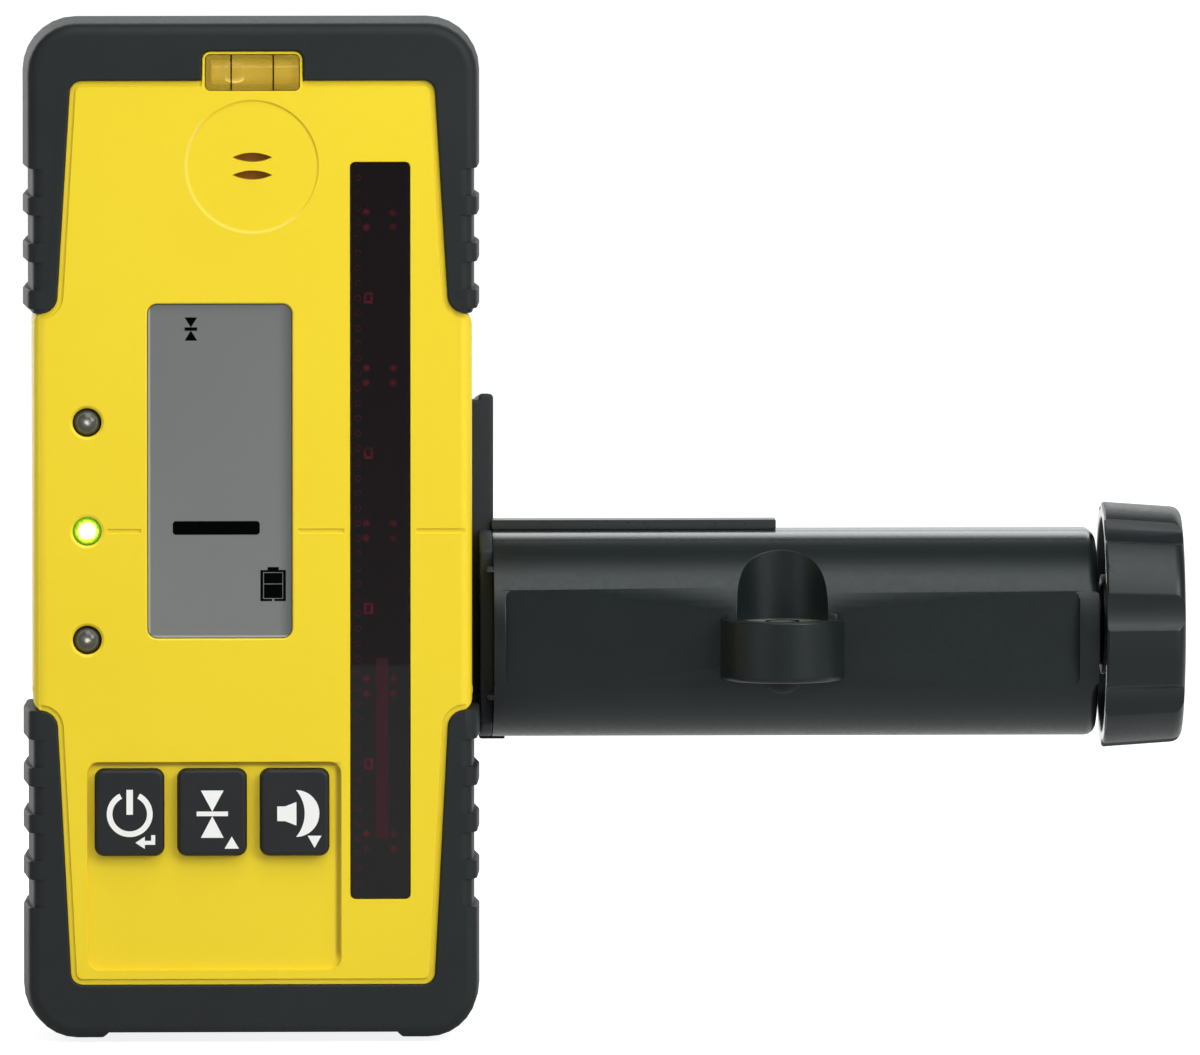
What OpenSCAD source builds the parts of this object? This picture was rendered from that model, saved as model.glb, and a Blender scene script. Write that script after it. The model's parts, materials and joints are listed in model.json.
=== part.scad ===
// Laser receiver on a rod clamp: a handheld beam detector whose bracket grips a measuring rod.
// Millimetres. The origin lies on the clamping face of the fixed jaw, level with the grade line
// and halfway along the reach of the jaws. +X runs along the clamp screw, +Y to the back, +Z up.

/* [Receiver body] */
// Height over the bumpers
body_h = 173; // [169:0.5:180]
// Width over the bumper ribs
body_w = 77.3; // [76:0.1:82]
// Depth over the bumpers
body_d = 29; // [28.6:0.1:31]
// Corner radius seen from the front
body_r = 9; // [8:0.5:10]
// Wall of the case shells
case_wall = 2; // [1.6:0.1:2.2]
// Wall of the case behind its visible faces
face_wall = 2.5; // [2.3:0.1:2.7]

/* [Bumpers] */
// Height of the side ribs above the plain rubber
rib_depth = 0.85; // [0.4:0.05:1]
// Height of the side ribs along the edge
rib_h = 3.2; // [2.4:0.1:4]
// Spacing of the side ribs
rib_pitch = 7.9; // [7:0.1:9]
// Height of the upper bumper on the front face
top_band_h = 10.4; // [9.6:0.1:11]
// Height of the lower bumper on the front face
bottom_band_h = 9.7; // [9:0.1:10.4]
// Grade line to the ends of the upper legs
upper_leg_z = 36.8; // [32:0.2:40]
// Grade line to the ends of the lower legs
lower_leg_z = 30.3; // [28:0.1:34]
// Width of the legs at the corners
leg_root_w = 8; // [7.4:0.1:8.4]
// Width of the legs at their ends
leg_tip_w = 5.6; // [5:0.1:6.4]
// Gap between the two feet
foot_gap_w = 48.8; // [40:0.2:54]
// Height of the feet
foot_h = 1.6; // [1:0.1:2]

/* [Beam window and display] */
// Width of the beam window
window_w = 10; // [8:0.1:11]
// End of the body to the end of the beam window
window_end = 24.2; // [22:0.1:32]
// Width of the display
display_w = 24.3; // [20:0.1:25]
// Height of the display
display_h = 56.4; // [50:0.1:58]

/* [Lamps and sounder] */
// Diameter of the lamps
lamp_d = 4.7; // [4:0.1:5]
// Spacing of the lamps
lamp_pitch = 18.4; // [16:0.1:19]
// Diameter of the sounder
sounder_d = 19; // [16:0.1:20]
// Diameter of the shallow disc in front of the sounder
grille_d = 22.4; // [20:0.2:23]
// Top of the body to the middle of the sounder
sounder_drop = 24.8; // [24:0.1:25.6]

/* [Keys] */
// Height of a key
key_h = 14.6; // [12:0.1:15]
// Gap between two keys
key_gap = 2.45; // [2.2:0.05:3]
// Side of the keypad's shallow recess to the nearest key
key_side_gap = 1.75; // [1.4:0.05:2.2]
// Bottom of the body to the middle of the keys
key_rise = 38.9; // [37.5:0.1:39.5]
// Travel of a key
key_travel = 0.7; // [0.4:0.05:0.8]

/* [Power] */
// Diameter of a cell
cell_d = 14.5; // [14:0.1:14.6]
// Length of a cell with its nub
cell_len = 50.5; // [48:0.1:51]
// Thickness of the battery door
door_t = 1.8; // [1.6:0.05:2]

/* [Clamp] */
// Fixed jaw face to moving jaw face, as shown
jaw_gap = 42; // [30:0.5:52]
// Reach of the jaws behind the arm
jaw_reach = 28; // [22:0.5:34]
// Thickness of the fixed jaw
jaw_t = 2.6; // [2.4:0.1:4]
// Fixed jaw's top above the grade line
jaw_top = 21.5; // [14:0.5:26]
// Length of the arm
arm_len = 102.6; // [98:0.2:112]
// Radius of the arm's rounded front
arm_r = 17.5; // [17:0.1:18.5]
// Depth of the arm from front to back
arm_d = 24; // [23:0.1:25]
// Wall of the arm
arm_wall = 2.6; // [2.4:0.1:2.8]
// Grade line to the flat top of the arm
arm_drop = 1.7; // [1.2:0.1:2.2]
// Diameter of the clamp screw
screw_d = 7; // [6:0.1:7.6]
// Diameter of the knob at its inner rim
knob_d = 41.8; // [38:0.2:46]
// Length of the knob
knob_len = 13.5; // [11:0.5:18]
// Number of flutes round the knob
knob_flutes = 8; // [6:1:9]
// Length of the reading edge
edge_len = 48; // [40:0.5:60]

/* [Round level] */
// Outer diameter of the level's cup
cup_d = 20.9; // [20:0.1:22]
// Diameter of the round vial
vial_d = 15.2; // [14:0.1:15.6]
// Fixed jaw face to the middle of the cup
cup_x = 48.4; // [44:0.2:54]
// Height of the cup
cup_h = 10.4; // [9.6:0.1:11]

/* [Hidden] */
$fn = 64;
hull_fn = 28;

// Clearances
cut = 1;
fit = 0.1;
bore_fit = 0.05;
slide_fit = 0.3;
hull_skin = 0.01;
weld = 0.5;

// Case layers, measured from the bumper's front face
pad_sink = 0.5;
bumper_face_t = 2.2;
bumper_side_t = 1.6;
bumper_end_t = 3;
mid_inset = 0.7;
edge_round = 2;
skin_draft = 0.75;
arc_step = 30;
pad_r = 2;
leg_tip_r = 3;
pad_step_w = 0.9;
pad_step_h = 0.35;
mid_round = 2.2;
face_y = pad_sink;
inner_y = face_y + face_wall;
core_y = bumper_face_t;
part_y = body_d / 2;
back_y = body_d - pad_sink;
back_inner_y = back_y - face_wall;
core_w = body_w - 2 * rib_depth - 2 * bumper_side_t;
core_h = body_h - 2 * bumper_end_t;
core_r = body_r - bumper_end_t;
mid_w = body_w - 2 * rib_depth - 2 * mid_inset;
pad_top = body_h / 2 - top_band_h;
pad_bottom = bottom_band_h - body_h / 2;
pad_root_w = body_w - 2 * leg_root_w;
pad_tip_w = body_w - 2 * leg_tip_w;
pad_z = (pad_top + pad_bottom) / 2;
pad_h = pad_top - pad_bottom;
rib_count = 3;
leg_rib_gap = 0.8;
leg_block_h = 5;
foot_slope = 1.4;
gasket_w = 1;
gasket_h = 1;
gasket_in = 0.5;

// Screws that hold the two shells together
boss_r = 2.8;
boss_shoulder = 1.4;
case_screw_r = 1.5;
case_screw_head_r = 2.6;
case_screw_head_h = 1.7;
case_screw_drive_r = 1.2;
case_screw_drive_h = 0.9;
upper_screw_inset = 4.6;
upper_screw_drop = 7.1;
lower_screw_inset = 4.1;
lower_screw_rise = 3.3;
screw_places = [for (side = [-1, 1]) each [
    [side * (pad_root_w / 2 - upper_screw_inset), pad_top - upper_screw_drop],
    [side * (mid_w / 2 - lower_screw_inset), lower_screw_rise - lower_leg_z]
]];

// Boards and what stands on them
board_gap = 4.4;
board_t = 1.6;
board_y = inner_y + board_gap;
board_side = 3;
board_w = core_w - 2 * case_wall - 2 * board_side;
board_end = 4.1;
board_r = 2;
sensor_board_lap = 1;
sensor_board_t = 1.6;
diode_w = 5.2;
diode_h = 7.4;
diode_t = 2.2;
diode_count = 12;
chip_t = 1.4;
chip_sizes = [[12, 12], [9, 6], [6, 5]];
chip_places_share = [[-0.2, 0.25], [0.15, 0.1], [-0.1, -0.08]];

// Window and display
seat_depth = 1.5;
seat_w = 0.8;
window_t = 1.25;
window_r = 0.8;
lens_t = 1.2;
display_r = 1.6;
seat_y = face_y + seat_depth;
window_h = body_h - 2 * window_end;
// Gaps from left to right: side, lamps, display, window, side
row_free = body_w - lamp_d - display_w - window_w;
row_gap_shares = [0.218, 0.2063, 0.2598];
lamp_x = row_free * row_gap_shares[0] + lamp_d / 2 - body_w / 2;
display_x = lamp_x + lamp_d / 2 + row_free * row_gap_shares[1] + display_w / 2;
window_x = display_x + display_w / 2 + row_free * row_gap_shares[2] + window_w / 2;
panel_lap = 1.2;
panel_t = 2.5;
panel_r = 0.5;

// Lamps, grille and grade marks
lamp_front_y = pad_sink / 2;
lamp_rim = 0.55;
lamp_rim_h = 1.2;
lamp_chamfer = 0.4;
sounder_z = body_h / 2 - sounder_drop;
sounder_h = 3.9;
grille_depth = 0.25;
slot_w = 6.8;
slot_h = 1.6;
slot_pitch = 3;
membrane_t = 0.3;
membrane_d = 14;
mark_h = 0.7;
mark_depth = 0.3;
mark_gap = 1.2;

// Keys
key_z = key_rise - body_h / 2;
key_recess = 0.9;
key_area_in = 2.65;
key_area_gap = 1.65;
key_area_left = key_area_in - pad_root_w / 2;
key_area_w = window_x - window_w / 2 - key_area_gap - key_area_left;
key_area_x = key_area_left + key_area_w / 2;
key_area_h = 35.2;
key_area_r = 2;
key_area_below = 9.1;
key_area_shift = 0.35;
key_x = key_area_x - key_area_shift;
key_w = (key_area_w - 2 * key_side_gap - 2 * key_gap) / 3;
key_pitch = key_w + key_gap;
// The display stands between the sounder's disc and the keys
display_free = sounder_z - grille_d / 2 - key_z - key_h / 2 - display_h;
display_gap_share = 0.35345;
display_z = sounder_z - grille_d / 2 - display_free * display_gap_share - display_h / 2;
key_r = 1.5;
key_proud = 1;
key_flange = 0.85;
key_flange_t = 0.8;
key_play = 0.15;
key_stem_r = 1.6;
key_stem_h = 0.3;
key_front_y = face_y - key_proud;
key_flange_y = inner_y + fit;
key_stem_y = key_flange_y + key_flange_t + key_stem_h;
switch_w = 6;
switch_button_r = 1.6;
switch_button_h = 0.45;
switch_top_y = key_stem_y + key_travel + bore_fit;

// Bar level in the upper bumper
level_len = 15.8;
level_h = 6;
level_d = 6.4;
level_rise = 1.4;
level_rim = 0.6;
level_wall = 1.2;
level_bore_r = 2.3;
level_end_t = 1;
level_plug_t = 1.2;
level_line_w = 0.22;
level_r = 0.8;
level_line_t = 0.15;
level_line_pitch = 7.1;
level_z = pad_top + level_rise;
level_y = face_y + fit;
level_bubble_r = 1.75;
level_bubble_x = -2.9;

// Battery compartment and its door
cell_fit = 0.5;
nub_r = 2.75;
nub_len = 1.2;
contact_room = 3.2;
contact_t = 0.6;
contact_w = 11;
contact_bump_r = 2.4;
tub_wall = 1.5;
door_lap = 1.2;
door_gap = 0.15;
door_r = 0.3;
door_edge = 1.6;
door_y = back_y - door_t;
cell_y = door_y - cell_fit / 2 - cell_d / 2;
tub_y = cell_y - cell_d / 2 - cell_fit / 2;
tub_w = cell_len + 2 * contact_room;
tub_h = 2 * cell_d + 3 * cell_fit;
tub_z = pad_bottom + door_edge + door_lap + tub_h / 2;
door_w = tub_w + 2 * door_lap;
door_h = tub_h + 2 * door_lap;
door_top = tub_z + door_h / 2;
door_bottom = tub_z - door_h / 2;
cell_pitch = cell_d + cell_fit;
knuckle_r = 1.4;
knuckle_w = 28;
lug_w = 5.5;
lug_gap = 0.3;
pin_r = 0.75;
hinge_y = back_y - knuckle_r;
hinge_z = door_bottom + knuckle_r;
lug_x = knuckle_w / 2 + lug_gap;
latch_travel = 2.4;
latch_w = 14;
latch_h = 5.6;
latch_over = 1.2;
latch_t = 0.7;
latch_proud = 0.5;
latch_top_gap = 1.4;
neck_w = 6;
neck_h = 1;
tongue_w = 10;
tongue_t = 1.05;
tongue_reach = 0.9;
tongue_play = 0.15;
neck_z = door_top - latch_top_gap - neck_h - latch_travel;

// Threaded insert, pegs and the screw of the bracket
insert_x = 8;
insert_z = -9;
insert_r = 4;
insert_bore_r = 2.5;
insert_len = 8;
insert_boss = 2;
peg_pitch = 28;
peg_r = 1.8;
peg_len = 2;
stud_r = insert_bore_r - bore_fit;
stud_hole = 0.3;
thumb_r = 9;
thumb_h = 8.5;
thumb_lobes = 6;
thumb_lobe_r = 2.6;
clip_r = 4.4;
clip_t = 0.5;
clip_room = 0.8;

// Bracket frame
plate_t = 4;
plate_gap = 0.6;
plate_y = -jaw_reach / 2 - plate_t;
side_gap = 0.25;
plate_left = 16;
plate_drop = 1.1;
plate_top = jaw_top - plate_drop;
plate_bottom = 33;
plate_r = 5;
seat_boss_r = 7;
jaw_step = 0.4;
jaw_fall = 2.4;
gusset_t = 3;
gusset_len = 12;
gusset_zs_share = [0.15, 0.75];
lip_t = 0.55;
lip_len = 1.8;
lip_in = 0.8;
flange_in = 8;
tab_in = 1;
tab_h = 0.8;
flange_tabs_share = [-0.57, 0.67];

// Arm
arm_cz = -arm_drop - arm_r;
arm_bottom = arm_cz - arm_r;
arm_back = arm_d - arm_r;
arm_end_t = 4.4;
seat_plane = -jaw_reach / 2;
arm_cy = seat_plane - arm_back;
arm_front = arm_cy - arm_r;
arm_x = -jaw_step;
arm_end = arm_x + arm_len;
screw_rise = 1.3;
screw_z = arm_cz + screw_rise;
facet_margin = 2;
facet_deep = 1.9;
facet_left_deep = 2.1;
facet_round = 1.2;
facet_shallow = 0.55;
facet_cup_lap = 1.2;
facet_end = 3.4;
arm_screw_r = 1.5;
arm_screw_len = 6;
arm_screw_head_r = 2.6;
arm_screw_head_h = 1.2;
arm_screw_rise = 11;
edge_d = 5;

// Clamp screw, its bushes and the knob
screw_r = screw_d / 2;
journal_step = 0.7;
journal_r = screw_r - journal_step;
journal_gap = 0.4;
bush_wall = 2;
bush_rim = 1.5;
bush_rim_t = 1;
collar_wall = 3;
collar_t = 3;
knob_gap = 1.1;
knob_wall = 2.6;
knob_hub_r = 8.5;
knob_web = 4;
knob_taper = 0.8;
knob_round = 1.8;
knob_rim_round = 0.4;
knob_dish = 1.6;
knob_arc_step = 15;
flute_depth = 1.2;
flute_w = 7;
flute_floor_w = 2.9;
flute_phase = 35.4;
cap_t = 1.4;
cap_sink = 0.6;
screw_end = arm_end + knob_gap + knob_len - knob_web / 2;

// Moving jaw
jaw_body_t = 8;
carriage_len = 24;
nut_len = 12;
nut_h = 11;
nut_wall = 1.7;
nut_set = 6;
pad_t = 2;
pad_edge = 1.2;
web_len = 12;
web_t = 6;
pad_screw_r = 1.25;
pad_screw_head_r = 2.2;
pad_screw_head_h = 1.3;
pad_screw_bite = 1.2;
pad_screw_rise = 9;
pad_screw_y = 0;

// Round level
cup_under = 8.1;
cup_bottom_z = screw_z - cup_under;
cup_top_z = cup_bottom_z + cup_h;
cup_floor = 2.2;
cup_set = 0.3;
cup_y = arm_front + cup_set;
vial_r = vial_d / 2;
vial_fit = 0.1;
vial_sink = 0.5;
vial_wall = 1.3;
vial_floor = 1.6;
vial_roof = 1.4;
vial_bubble_r = 2.1;
vial_dome_r = 40;
vial_base_z = cup_bottom_z + cup_floor;
vial_top_z = cup_top_z - vial_sink;
carriage_y = cup_y + cup_d / 2 + slide_fit;
ring_r = 2.9;
ring_w = 0.3;
ring_t = 0.12;
round_screw_r = 1.4;
round_screw_bite = 1;
round_head_r = 3.7;
round_head_h = 2.4;

// The receiver's place: its middle in X, the front face of its bumpers in Y
receiver_x = -jaw_t - side_gap - body_w / 2;
receiver_y = seat_plane - plate_t - plate_gap - back_y;

// Shapes that repeat
module on_receiver() {
    translate([receiver_x, receiver_y, 0]) children();
}

module block(low, high) {
    translate(low) cube(high - low);
}

module rod_x(r, x0, x1, y, z) {
    translate([x0, y, z]) rotate([0, 90, 0]) cylinder(r = r, h = x1 - x0);
}

module rod_y(r, y0, y1, x, z) {
    translate([x, y0, z]) rotate([-90, 0, 0]) cylinder(r = r, h = y1 - y0);
}

module cone_y(r0, r1, y0, y1, x, z) {
    translate([x, y0, z]) rotate([-90, 0, 0]) cylinder(r1 = r0, r2 = r1, h = y1 - y0);
}

module rod_z(r, z0, z1, x, y) {
    translate([x, y, z0]) cylinder(r = r, h = z1 - z0);
}

module rounded_rect(w, h, r) {
    square([w - 2 * r, h], center = true);
    square([w, h - 2 * r], center = true);
    for (x = [-1, 1], z = [-1, 1])
        translate([x * (w / 2 - r), z * (h / 2 - r)]) circle(r);
}

// Stands a flat outline up and gives it its depth from y0 to y1
module along_y(y0, y1) {
    translate([0, y1, 0]) rotate([90, 0, 0]) linear_extrude(y1 - y0) children();
}

// Turns a side outline, drawn as Y and Z, into a length from x0 to x1
module along_x(x0, x1) {
    translate([x0, 0, 0]) rotate([90, 0, 90]) linear_extrude(x1 - x0) children();
}

module slab(w, h, r, y0, y1, x = 0, z = 0) {
    translate([x, 0, z]) along_y(y0, y1) rounded_rect(w, h, r);
}

// Receiver: shared forms of the case and the bumpers
pad_half = [
    [pad_root_w / 2, pad_top], [pad_tip_w / 2, upper_leg_z], [mid_w / 2, upper_leg_z],
    [mid_w / 2, -lower_leg_z], [pad_tip_w / 2, -lower_leg_z], [pad_root_w / 2, pad_bottom]
];

module pad_outline(grow = 0) {
    offset(delta = grow)
        offset(r = pad_r) offset(delta = -pad_r)
        offset(r = -leg_tip_r) offset(delta = leg_tip_r)
        polygon(concat(pad_half, [for (i = [len(pad_half) - 1:-1:0]) [-pad_half[i].x, pad_half[i].y]]));
}

// The front outline also frames the bar level
module front_outline(grow = 0) {
    frame_w = level_len + 2 * (level_rim + grow);
    frame_top = level_z + level_h / 2 + level_rim + grow;
    pad_outline(grow);
    translate([0, (pad_z + frame_top) / 2])
        rounded_rect(frame_w, frame_top - pad_z, level_r + level_rim + grow);
}

// Low border of the raised face, beside the bumpers only
module face_border() {
    frame_w = level_len + 2 * level_rim;
    difference() {
        pad_outline(cut);
        pad_outline(-pad_step_w);
        translate([-frame_w / 2, pad_z]) square([frame_w, pad_h]);
        translate([-body_w / 2, pad_step_w - lower_leg_z])
            square([body_w, upper_leg_z + lower_leg_z - 2 * pad_step_w]);
    }
}

// Cutter that rounds the case's front edge between the bumpers
module mid_edge_cut(side) {
    x = side * (mid_w / 2 - mid_round);
    difference() {
        block([min(x, side * body_w / 2), -cut, -lower_leg_z - leg_tip_r],
              [max(x, side * body_w / 2), face_y + mid_round, upper_leg_z + leg_tip_r]);
        rod_z(mid_round, -body_h / 2, body_h / 2, x, face_y + mid_round);
    }
}

// The outer form that both bumpers are cut from
module skin(inset) {
    $fn = hull_fn;
    hull() {
        slab(body_w - 2 * inset, body_h - 2 * inset, body_r - inset, part_y, part_y + hull_skin);
        for (back = [0, 1], a = [0:arc_step:90]) {
            depth = edge_round * (1 - sin(a));
            in = inset + skin_draft * (1 - depth / part_y) + edge_round * (1 - cos(a));
            y = back * (body_d - hull_skin) + (1 - 2 * back) * depth;
            slab(body_w - 2 * in, body_h - 2 * in, body_r - in, y, y + hull_skin);
        }
    }
}

module band(z0, z1) {
    block([-body_w, -cut, z0], [body_w, body_d + cut, z1]);
}

module case_room() {
    slab(core_w + 2 * fit, core_h + 2 * fit, core_r + fit, core_y - fit, body_d - core_y + fit);
    along_y(-cut, part_y) front_outline(fit);
    along_y(part_y, body_d + cut) pad_outline(fit);
}

// Ribbed bumper: plain skin, with the full skin left standing in the bands
module bumper_blank() {
    skin(rib_depth);
    intersection() {
        skin(0);
        children();
    }
}

// Receiver: case
module front_case() {
    color("gold") on_receiver() difference() {
        union() {
            difference() {
                union() {
                    slab(core_w, core_h, core_r, core_y, part_y);
                    along_y(face_y, part_y) front_outline();
                }
                slab(core_w - 2 * case_wall, core_h - 2 * case_wall, core_r - case_wall,
                     core_y + case_wall, part_y + cut);
                slab(pad_root_w - 2 * case_wall, pad_h - 2 * case_wall, pad_r, inner_y, part_y, 0, pad_z);
            }
            for (p = screw_places) {
                rod_y(boss_r, inner_y - weld, part_y, p.x, p.y);
                rod_y(boss_r + boss_shoulder, inner_y - weld, board_y, p.x, p.y);
            }
            block([-level_len / 2 - level_wall, inner_y - weld, level_z - level_h / 2 - level_wall],
                  [level_len / 2 + level_wall, level_y + level_d + level_wall,
                   level_z + level_h / 2 + level_wall]);
        }
        for (p = screw_places)
            rod_y(case_screw_r + bore_fit, board_y, part_y + cut, p.x, p.y);
        slab(level_len + 2 * fit, level_h + 2 * fit, level_r + fit, -cut, level_y + level_d, 0, level_z);
        seat_cut(window_w, window_h, window_r, window_x, 0);
        seat_cut(display_w, display_h, display_r, display_x, display_z);
        for (i = [-1:1])
            lamp_hole(i * lamp_pitch);
        rod_y(grille_d / 2, -cut, face_y + grille_depth, 0, sounder_z);
        for (side = [-1, 1])
            sound_slot(sounder_z + side * slot_pitch / 2);
        slab(key_area_w, key_area_h, key_area_r, -cut, face_y + key_recess,
             key_area_x, key_z - key_area_below);
        for (i = [-1:1])
            slab(key_w + 2 * key_play, key_h + 2 * key_play, key_r + key_play, -cut, inner_y + cut,
                 key_x + i * key_pitch, key_z);
        grade_mark(lamp_x + lamp_d / 2, display_x - display_w / 2);
        grade_mark(display_x + display_w / 2, window_x - window_w / 2);
        grade_mark(window_x + window_w / 2, mid_w / 2);
        gasket_ring(0);
        along_y(-cut, face_y + pad_step_h) face_border();
        for (side = [-1, 1])
            mid_edge_cut(side);
    }
}

module lamp_hole(z) {
    r = lamp_d / 2 + fit;
    rod_y(r, -cut, board_y, lamp_x, z);
    cone_y(r + lamp_chamfer + fit, r, face_y - fit, face_y + lamp_chamfer, lamp_x, z);
}

// Opening with a ledge that a glued pane rests on
module seat_cut(w, h, r, x, z) {
    slab(w + 2 * fit, h + 2 * fit, r + fit, -cut, seat_y, x, z);
    slab(w - 2 * seat_w, h - 2 * seat_w, r, -cut, inner_y + cut, x, z);
}

module sound_slot(z) {
    arc_r = (slot_w * slot_w + slot_h * slot_h) / (4 * slot_h);
    translate([0, 0, z]) along_y(-cut, inner_y + cut) intersection_for (side = [-1, 1])
        translate([0, side * (arc_r - slot_h / 2)]) circle(arc_r);
}

module grade_mark(x0, x1) {
    block([x0 + mark_gap, -cut, -mark_h / 2], [x1 - mark_gap, face_y + mark_depth, mark_h / 2]);
}

module gasket_ring(play) {
    difference() {
        slab(core_w - 2 * gasket_in, core_h - 2 * gasket_in, core_r - gasket_in,
             part_y - gasket_h / 2 + play, part_y + gasket_h / 2 - play);
        slab(core_w - 2 * (gasket_in + gasket_w), core_h - 2 * (gasket_in + gasket_w),
             core_r - gasket_in - gasket_w, -cut, body_d + cut);
    }
}

module rear_case() {
    color("gold") on_receiver() difference() {
        union() {
            difference() {
                union() {
                    slab(core_w, core_h, core_r, part_y, body_d - core_y);
                    along_y(part_y, back_y) pad_outline();
                }
                slab(core_w - 2 * case_wall, core_h - 2 * case_wall, core_r - case_wall,
                     part_y - cut, body_d - core_y - case_wall);
                slab(pad_root_w - 2 * case_wall, pad_h - 2 * case_wall, pad_r,
                     part_y, back_inner_y, 0, pad_z);
            }
            slab(tub_w + 2 * tub_wall, tub_h + 2 * tub_wall, tub_wall,
                 tub_y - tub_wall, back_y - weld, 0, tub_z);
            for (p = screw_places)
                rod_y(boss_r, part_y, back_inner_y + weld, p.x, p.y);
            rod_y(insert_r + insert_boss, back_y - insert_len - insert_boss, back_inner_y + weld,
                  insert_x, insert_z);
            for (side = [-1, 1])
                rod_y(peg_r + insert_boss, back_inner_y - weld, back_inner_y + weld,
                      insert_x + side * peg_pitch / 2, insert_z);
        }
        difference() {
            union() {
                slab(tub_w, tub_h, fit, tub_y, back_y + cut, 0, tub_z);
                slab(door_w + 2 * door_gap, door_h + 2 * door_gap, door_r, door_y, back_y + cut, 0, tub_z);
                rod_x(knuckle_r + door_gap, -door_w / 2 - door_gap, door_w / 2 + door_gap, hinge_y, hinge_z);
                block([-tongue_w / 2 - slide_fit, door_y - tongue_play - tongue_t - slide_fit, tub_z],
                      [tongue_w / 2 + slide_fit, door_y, door_top + tongue_reach + slide_fit]);
            }
            for (side = [-1, 1])
                hinge_lug(side);
        }
        rod_x(pin_r, -lug_x - lug_w - cut, lug_x + lug_w + cut, hinge_y, hinge_z);
        for (p = screw_places) {
            rod_y(case_screw_r + fit, part_y - cut, back_y + cut, p.x, p.y);
            rod_y(case_screw_head_r + fit, back_y - case_screw_head_h - fit, back_y + cut, p.x, p.y);
        }
        rod_y(insert_r, back_y - insert_len, back_y + cut, insert_x, insert_z);
        for (side = [-1, 1])
            rod_y(peg_r + fit, back_y - peg_len - fit, back_y + cut,
                  insert_x + side * peg_pitch / 2, insert_z);
        gasket_ring(0);
    }
}

module hinge_lug(side) {
    x0 = side < 0 ? -lug_x - lug_w : lug_x;
    rod_x(knuckle_r - fit, x0, x0 + lug_w, hinge_y, hinge_z);
    block([x0, tub_y, door_bottom - tub_wall], [x0 + lug_w, hinge_y, hinge_z]);
}

module case_gasket() {
    color("dimgray") on_receiver() gasket_ring(0);
}

module case_screws() {
    color("silver") on_receiver() for (p = screw_places) difference() {
        union() {
            rod_y(case_screw_r, board_y + fit, back_y - case_screw_head_h, p.x, p.y);
            rod_y(case_screw_head_r, back_y - case_screw_head_h, back_y - fit, p.x, p.y);
        }
        translate([p.x, back_y - case_screw_drive_h, p.y]) rotate([-90, 0, 0])
            cylinder(r = case_screw_drive_r, h = cut + case_screw_drive_h, $fn = 6);
    }
}

module top_bumper() {
    first = upper_leg_z + leg_rib_gap;
    color("#2d3233") on_receiver() difference() {
        intersection() {
            bumper_blank() {
                for (i = [0:rib_count - 1])
                    band(first + i * rib_pitch, first + i * rib_pitch + rib_h);
                band(first + rib_count * rib_pitch, body_h);
            }
            band(upper_leg_z, body_h);
        }
        case_room();
    }
}

module bottom_bumper() {
    gap = rib_pitch - rib_h;
    first = -lower_leg_z - leg_block_h - gap;
    foot_z = -body_h / 2 + foot_h;
    color("#2d3233") on_receiver() difference() {
        intersection() {
            bumper_blank() {
                band(-lower_leg_z - leg_block_h, -lower_leg_z);
                for (i = [0:rib_count - 1])
                    band(first - i * rib_pitch - rib_h, first - i * rib_pitch);
                band(-body_h, first - rib_count * rib_pitch);
            }
            band(-body_h, -lower_leg_z);
        }
        case_room();
        along_y(-cut, body_d + cut) polygon([
            [-foot_gap_w / 2 - foot_slope, -body_h], [foot_gap_w / 2 + foot_slope, -body_h],
            [foot_gap_w / 2 + foot_slope, foot_z - foot_h], [foot_gap_w / 2, foot_z],
            [-foot_gap_w / 2, foot_z], [-foot_gap_w / 2 - foot_slope, foot_z - foot_h]
        ]);
    }
}

// Receiver: window, display, lamps and sounder
module sensor_window() {
    color("#301418") on_receiver()
        slab(window_w, window_h, window_r, seat_y - window_t, seat_y, window_x, 0);
}

module sensor_board() {
    color("darkgreen") on_receiver()
        slab(window_w + 2 * sensor_board_lap, window_h + 2 * sensor_board_lap, window_r,
             board_y - sensor_board_t, board_y, window_x, 0);
}

module photodiodes() {
    pitch = window_h / diode_count;
    y1 = board_y - sensor_board_t;
    color("#1a1012") on_receiver() for (i = [0:diode_count - 1]) {
        z = (i - (diode_count - 1) / 2) * pitch;
        block([window_x - diode_w / 2, y1 - diode_t, z - diode_h / 2],
              [window_x + diode_w / 2, y1, z + diode_h / 2]);
    }
}

module display_lens() {
    color("#8a8c88") on_receiver()
        slab(display_w, display_h, display_r, seat_y - lens_t, seat_y, display_x, display_z);
}

module lcd_panel() {
    color("#7c7e7a") on_receiver()
        slab(display_w + 2 * panel_lap, display_h + 2 * panel_lap, panel_r,
             inner_y + fit, inner_y + fit + panel_t, display_x, display_z);
}

module lcd_backlight() {
    color("white") on_receiver()
        slab(display_w + 2 * panel_lap, display_h + 2 * panel_lap, panel_r,
             inner_y + fit + panel_t, board_y, display_x, display_z);
}

module lamp(z) {
    r = lamp_d / 2;
    translate([lamp_x, 0, z]) {
        translate([0, lamp_front_y + r, 0]) sphere(r);
        rod_y(r, lamp_front_y + r, board_y, 0, 0);
        rod_y(r + lamp_rim, board_y - lamp_rim_h, board_y, 0, 0);
    }
}

module lamp_high() {
    color("#555a5a") on_receiver() lamp(lamp_pitch);
}

module lamp_grade() {
    color("#e8ffd0") on_receiver() lamp(0);
}

module lamp_low() {
    color("#555a5a") on_receiver() lamp(-lamp_pitch);
}

module sounder() {
    color("#202020") on_receiver() rod_y(sounder_d / 2, board_y - sounder_h, board_y, 0, sounder_z);
}

module sound_membrane() {
    color("#3a2a20") on_receiver()
        rod_y(membrane_d / 2, inner_y, inner_y + membrane_t, 0, sounder_z);
}

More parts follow.
